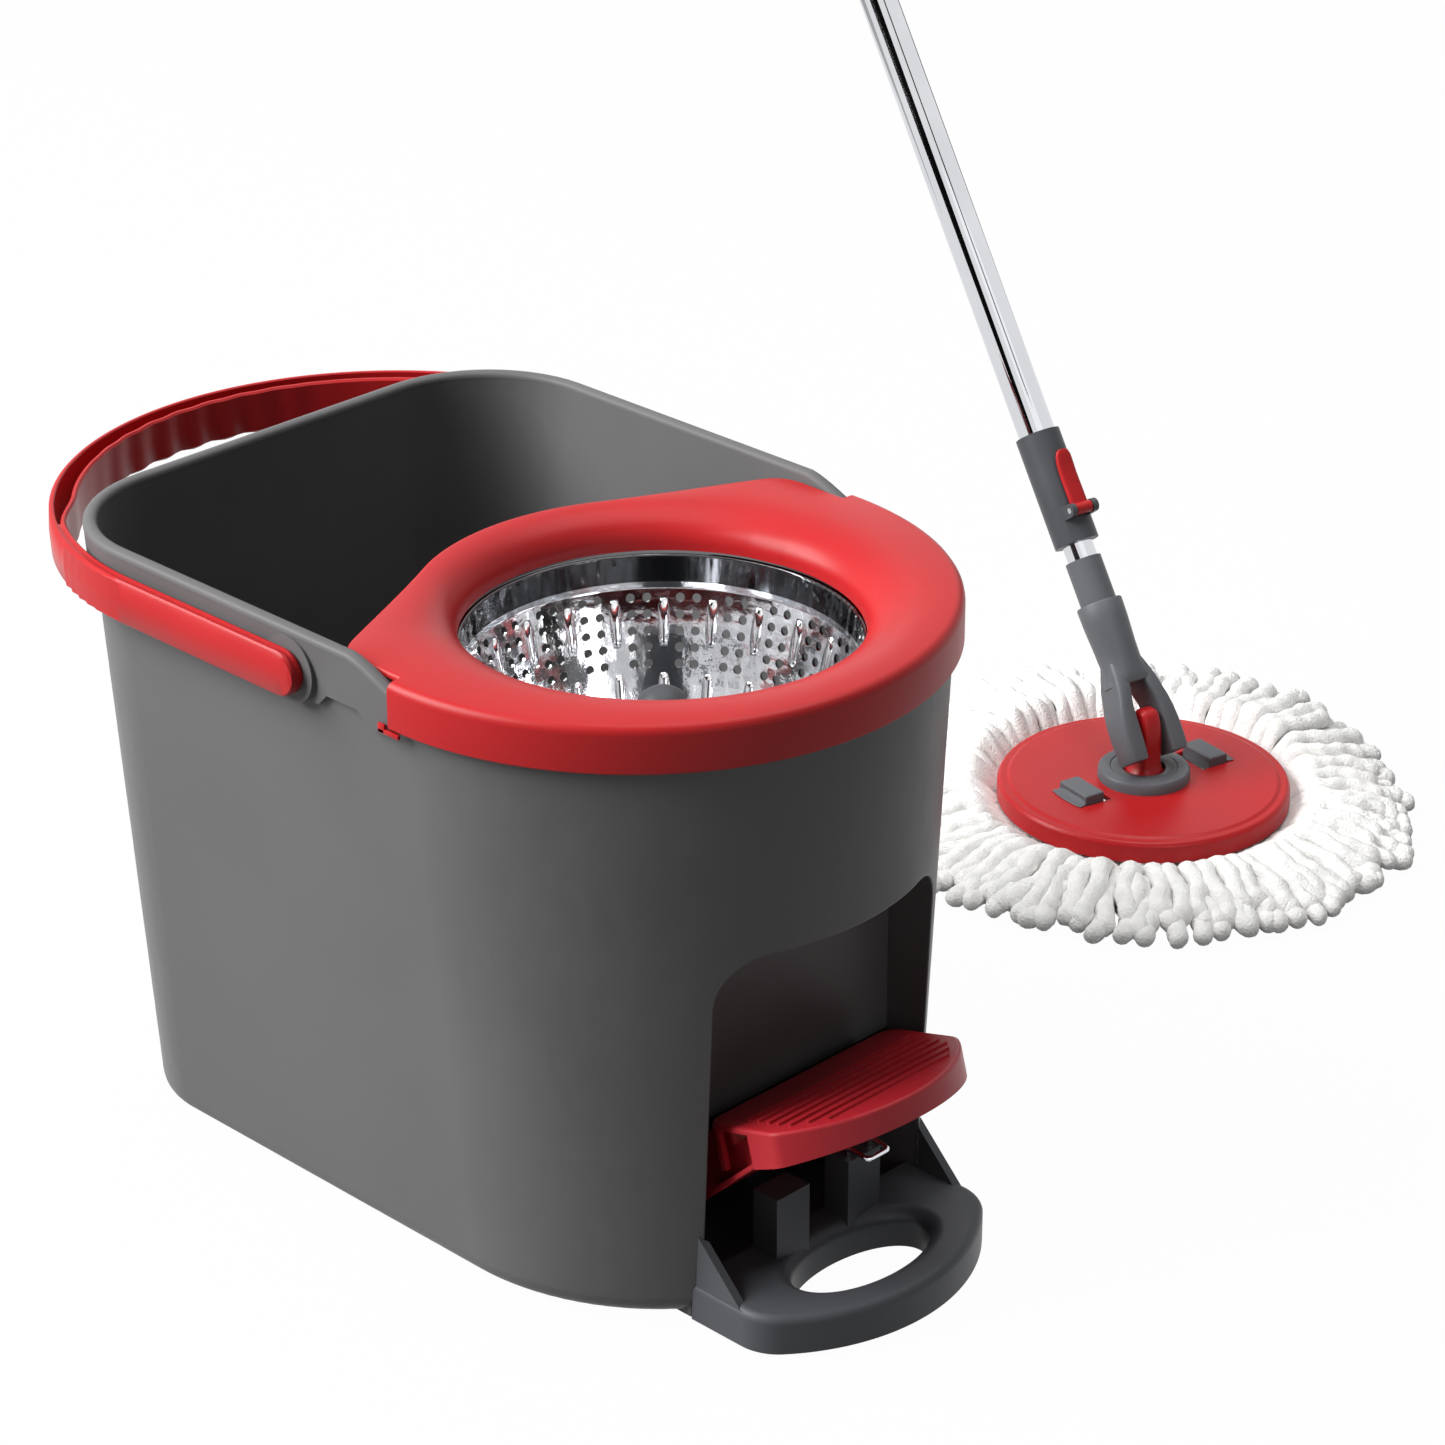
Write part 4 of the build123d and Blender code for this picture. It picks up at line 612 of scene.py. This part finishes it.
# Clamp lever: a thin blade with a round hub on its pin
leverSet = {"blade": ((0.1172, 0.0138, 0.0015, 0.0048), (0.119, 0.0139, 0.0017, 0.005),
                      (0.128, 0.0138, 0.0016, 0.005), (0.137, 0.0137, 0.0014, 0.005),
                      (0.1425, 0.0142, 0.0014, 0.0049), (0.1465, 0.015, 0.0013, 0.0045),
                      (0.149, 0.0155, 0.0011, 0.0034), (0.15, 0.0157, 0.0007, 0.0018)),
            "bladeSquare": 4, "hub": ((-0.005, 0.0026), (-0.0046, 0.0031), (0.0046, 0.0031), (0.005, 0.0026)),
            "hubSteps": 20, "pin": (0.01525, 0.118), "sharp": 50}


def clampLever(look):
    shape = bmesh.new()
    square, steps = look["bladeSquare"], jointSet["rowSteps"]
    loft(shape, [roundedRow(z, (x, 0), (thick, wide), square, steps) for z, x, thick, wide in look["blade"]])
    pinX, pinZ = look["pin"]
    turns = [tau * k / look["hubSteps"] for k in range(look["hubSteps"])]
    rows = []
    for y, r in look["hub"]:
        rows.append([Vector((pinX + r * cos(t), y, pinZ + r * sin(t))) for t in turns])
    loft(shape, rows)
    bmesh.ops.transform(shape, matrix=poleMatrix(mopFrame), verts=shape.verts)
    piece = newPiece("clampLever", shape, "lever", "lid_red")
    piece.data.set_sharp_from_angle(angle=radians(look["sharp"]))
    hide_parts("clamp_lever")


clampLever(leverSet)
print("mop joint done")

# Basket: pressed beads in the wall between the rows of holes
beadSet = {"count": 24, "rows": ((0.2395, 0.0812), (0.2075, 0.0729)), "half": (0.0015, 0.0031, 0.0108),
           "slope": 14.5, "sides": 10, "stacks": 8, "fullness": -0.5, "least": 0.0001}


def wallBeads(look):
    shape = bmesh.new()
    for level, radius in look["rows"]:
        for number in range(look["count"]):
            bead = bmesh.ops.create_uvsphere(shape, u_segments=look["sides"], v_segments=look["stacks"],
                                             radius=1)["verts"]
            for vert in bead:
                wide = max(hypot(vert.co.x, vert.co.y), look["least"])
                vert.co.xy *= wide ** look["fullness"]
            bmesh.ops.scale(shape, vec=look["half"], verts=bead)
            bmesh.ops.rotate(shape, matrix=Matrix.Rotation(radians(look["slope"]), 3, "Y"), verts=bead)
            bmesh.ops.translate(shape, vec=(radius, 0, level), verts=bead)
            bmesh.ops.rotate(shape, matrix=Matrix.Rotation(tau * number / look["count"], 3, "Z"), verts=bead)
    newPiece("wallBeads", shape, "basket", "polished")


wallBeads(beadSet)
print("basket beads done")

# Refill: soft strands that leave the ring under the disc, hang over its edge and lie on the floor
strandSet = {"centre": (-0.079, 0.424), "count": (78, 74, 70), "reach": (0.145, 0.141, 0.134),
             "height": (0.0006, 0.006, 0.0115), "root": 0.062, "edge": 0.083, "thick": 0.0063, "rings": 13,
             "sides": 6, "shorter": (0.93, 1.0), "scatter": 0.3, "sway": 0.007, "wander": 0.0018,
             "wanderTurns": 4, "fat": 0.97, "bobble": 0.27, "bobbleSpread": (0.5, 1.3), "tip": 0.8,
             "tipShare": 0.985, "tuck": 0.2, "rise": 0.012, "riseFrom": 0.008, "lift": (0.9, 1.12),
             "droop": 2.2, "pile": (0.0006, 0.012, 0.0235), "pileReach": 0.03, "pileFrom": (-0.72, 0.69),
             "pileShift": 0.15, "pileOver": 0.9, "pileFlat": 0.8, "floor": 0.0003, "seed": 7}


def strandShape(target, rng, angle, layer, look):
    around = Vector((cos(angle), sin(angle), 0))
    across = Vector((-sin(angle), cos(angle), 0))
    toPile = around.x * look["pileFrom"][0] + around.y * look["pileFrom"][1]
    behind = smooth((toPile + look["pileShift"]) / look["pileOver"])
    height = look["height"][layer] * (1 - behind) + look["pile"][layer] * behind
    reach = look["reach"][layer] * (1 + look["pileReach"] * behind)
    length = reach * rng.uniform(*look["shorter"]) - look["root"]
    sway = rng.uniform(-1, 1) * look["sway"]
    wave = rng.uniform(0, tau)
    lift = rng.uniform(*look["lift"])
    hub = Vector((*look["centre"], 0))
    last = look["rings"] - 1
    turns = [tau * k / look["sides"] for k in range(look["sides"])]
    sections = []
    for step in range(look["rings"]):
        share = step / last
        out = look["root"] + length * min(share, look["tipShare"])
        past = max(0, (out - look["edge"]) / (reach - look["edge"]))
        bobble = look["bobble"] * (1 if step % 2 else -1) * rng.uniform(*look["bobbleSpread"])
        fat = look["thick"] * (look["fat"] + bobble)
        fat *= look["tip"] if step == last else 1.0
        wander = look["wander"] * sin(look["wanderTurns"] * share * pi + wave)
        middle = hub + around * out + across * (sway * past + wander)
        climb = smooth((out - look["edge"] + look["riseFrom"]) / look["rise"])
        raised = look["tuck"] + (1 - look["tuck"]) * climb
        droop = (1 - look["pileFlat"] * behind) * past ** look["droop"]
        middle.z = height * lift * raised * (1 - droop) + look["thick"]
        ring = [middle + across * (fat * cos(t)) + Vector((0, 0, fat * sin(t))) for t in turns]
        sections.append([Vector((place.x, place.y, max(place.z, look["floor"]))) for place in ring])
    one = bmesh.new()
    loft(one, sections)
    joinInto(target, one)


def refillStrands(look):
    rng = random.Random(look["seed"])
    shape = bmesh.new()
    for layer, count in enumerate(look["count"]):
        for number in range(count):
            angle = tau * (number + rng.uniform(-look["scatter"], look["scatter"])) / count
            strandShape(shape, rng, angle, layer, look)
    piece = newPiece("refillYarn", shape, "mop_head", "microfibre")
    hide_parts("refill_strands")
    rounded = piece.modifiers.new("rounded", "SUBSURF")
    rounded.levels = 1
    rounded.render_levels = 1


refillStrands(strandSet)
print("refill strands done")

# Studio: pale floor, soft light, two lamps on the mop, and five cards that only reflections show
studio = {"floor": 12, "white": (110, 110, 110), "seen": 0.93, "glow": 1.05, "rough": 0.9,
          "world": 0.05, "lightAim": (0, 0.15, 0.2), "cardAim": (-0.2, 0.3, 0.5), "blend": 0.7,
          "key": {"place": (-1.7, -2.1, 2.2), "energy": 265, "size": 2.4},
          "fill": {"place": (2.2, -0.6, 1.8), "energy": 3, "size": 2.0},
          "top": {"place": (-0.1, 0.7, 3.0), "energy": 40, "size": 2.2},
          "mop": {"place": (1.1, -0.2, 0.45), "aim": (-0.03, 0.42, 0.02), "energy": 15, "size": 0.3,
                  "cone": 23},
          "over": {"place": (0.15, 0.2, 1.5), "aim": (-0.06, 0.42, 0.02), "energy": 48, "size": 0.3,
                   "cone": 17}}
cards = {"cardLeft": {"place": (-0.47, -1.75, 1.45), "wide": 1.7, "tall": 1.3, "grey": 0.004},
         "cardRight": {"place": (1.47, -0.28, 3.0), "wide": 0.4, "tall": 1.4, "grey": 0.02},
         "cardBack": {"place": (-0.85, 2.65, 0.45), "wide": 0.5, "tall": 1.2, "grey": 0.1},
         "cardLow": {"place": (-1.28, 0.16, 0.15), "wide": 0.9, "tall": 0.5, "grey": 0.5},
         "cardAbove": {"place": (0.35, -0.45, 2.2), "wide": 0.7, "tall": 0.5, "grey": 0.004}}


# One where the camera, a reflection or a clear body looks, and nought where light is counted
def lightPath(tree):
    path = tree.nodes.new("ShaderNodeLightPath")
    glossy = tree.nodes.new("ShaderNodeMath")
    glossy.operation = "MAXIMUM"
    wire(tree, path, "Is Camera Ray", glossy, 0)
    wire(tree, path, "Is Glossy Ray", glossy, 1)
    both = tree.nodes.new("ShaderNodeMath")
    both.operation = "MAXIMUM"
    wire(tree, glossy, "Value", both, 0)
    wire(tree, path, "Is Transmission Ray", both, 1)
    return both


def studioFloor(look):
    shape = bmesh.new()
    bmesh.ops.create_grid(shape, x_segments=1, y_segments=1, size=look["floor"])
    mesh = bpy.data.meshes.new("studioFloor")
    shape.to_mesh(mesh)
    shape.free()
    floor = bpy.data.objects.new("studioFloor", mesh)
    scene.collection.objects.link(floor)
    material = bpy.data.materials.new("floorFinish")
    material.use_nodes = True
    tree = material.node_tree
    shader = tree.nodes["Principled BSDF"]
    shader.inputs["Base Color"].default_value = linear(look["white"])
    shader.inputs["Roughness"].default_value = look["rough"]
    glow = tree.nodes.new("ShaderNodeEmission")
    glow.inputs["Strength"].default_value = look["glow"]
    share = tree.nodes.new("ShaderNodeMath")
    share.operation = "MULTIPLY"
    share.inputs[1].default_value = look["seen"]
    wire(tree, lightPath(tree), "Value", share, 0)
    mix = tree.nodes.new("ShaderNodeMixShader")
    wire(tree, share, "Value", mix, 0)
    wire(tree, shader, "BSDF", mix, 1)
    wire(tree, glow, "Emission", mix, 2)
    wire(tree, mix, "Shader", tree.nodes["Material Output"], "Surface")
    mesh.materials.append(material)


def facing(place, aim, axis):
    return (Vector(aim) - Vector(place)).to_track_quat(axis, "Y").to_euler()


def mirrorCard(name, look):
    shape = bmesh.new()
    bmesh.ops.create_grid(shape, x_segments=1, y_segments=1, size=0.5)
    bmesh.ops.scale(shape, vec=(look["wide"], look["tall"], 1), verts=shape.verts)
    mesh = bpy.data.meshes.new(name)
    shape.to_mesh(mesh)
    shape.free()
    card = bpy.data.objects.new(name, mesh)
    card.location = look["place"]
    card.rotation_euler = facing(look["place"], studio["cardAim"], "Z")
    card.visible_camera = False
    card.visible_diffuse = False
    card.visible_shadow = False
    scene.collection.objects.link(card)
    material = bpy.data.materials.new(name + "Finish")
    material.use_nodes = True
    shader = material.node_tree.nodes["Principled BSDF"]
    shader.inputs["Base Color"].default_value = (0, 0, 0, 1)
    shader.inputs["Specular IOR Level"].default_value = 0
    shader.inputs["Emission Color"].default_value = (1, 1, 1, 1)
    shader.inputs["Emission Strength"].default_value = look["grey"]
    mesh.materials.append(material)


def placeLight(name, lamp, place, aim):
    light = bpy.data.objects.new(name, lamp)
    light.location = place
    light.rotation_euler = facing(place, aim, "-Z")
    scene.collection.objects.link(light)


def softLight(name, look):
    lamp = bpy.data.lights.new(name, "AREA")
    lamp.energy = look["energy"]
    lamp.size = look["size"]
    placeLight(name, lamp, look["place"], studio["lightAim"])


def mopLamp(name, look):
    lamp = bpy.data.lights.new(name, "SPOT")
    lamp.energy = look["energy"]
    lamp.shadow_soft_size = look["size"]
    lamp.spot_size = radians(look["cone"])
    lamp.spot_blend = studio["blend"]
    placeLight(name, lamp, look["place"], look["aim"])


studioFloor(studio)
mopLamp("mopLight", studio["mop"])
mopLamp("overLight", studio["over"])
for cardName, cardLook in cards.items():
    mirrorCard(cardName, cardLook)
for lampName in ("key", "fill", "top"):
    softLight(lampName + "Light", studio[lampName])
world = bpy.data.worlds.new("studioWorld")
scene.world = world
world.use_nodes = True
worldTree = world.node_tree
backdrop = worldTree.nodes["Background"]
backdrop.inputs["Color"].default_value = (1, 1, 1, 1)
worldLevel = worldTree.nodes.new("ShaderNodeMapRange")
worldLevel.inputs["To Min"].default_value = studio["world"]
worldLevel.inputs["To Max"].default_value = 1
wire(worldTree, lightPath(worldTree), "Value", worldLevel, "Value")
wire(worldTree, worldLevel, "Result", backdrop, "Strength")
print("studio lit")

# Camera where the photograph was taken
photoCamera = {"place": (1.21892, -1.20199, 1.05306), "turn": 44.561, "down": 25.6999, "lens": 112.11,
               "sensor": 36}
cameraData = bpy.data.cameras.new("photoCamera")
cameraData.lens = photoCamera["lens"]
cameraData.sensor_width = photoCamera["sensor"]
camera = bpy.data.objects.new("photoCamera", cameraData)
camera.location = photoCamera["place"]
camera.rotation_euler = (radians(90 - photoCamera["down"]), 0, radians(photoCamera["turn"]))
scene.collection.objects.link(camera)
scene.camera = camera
print("camera placed")
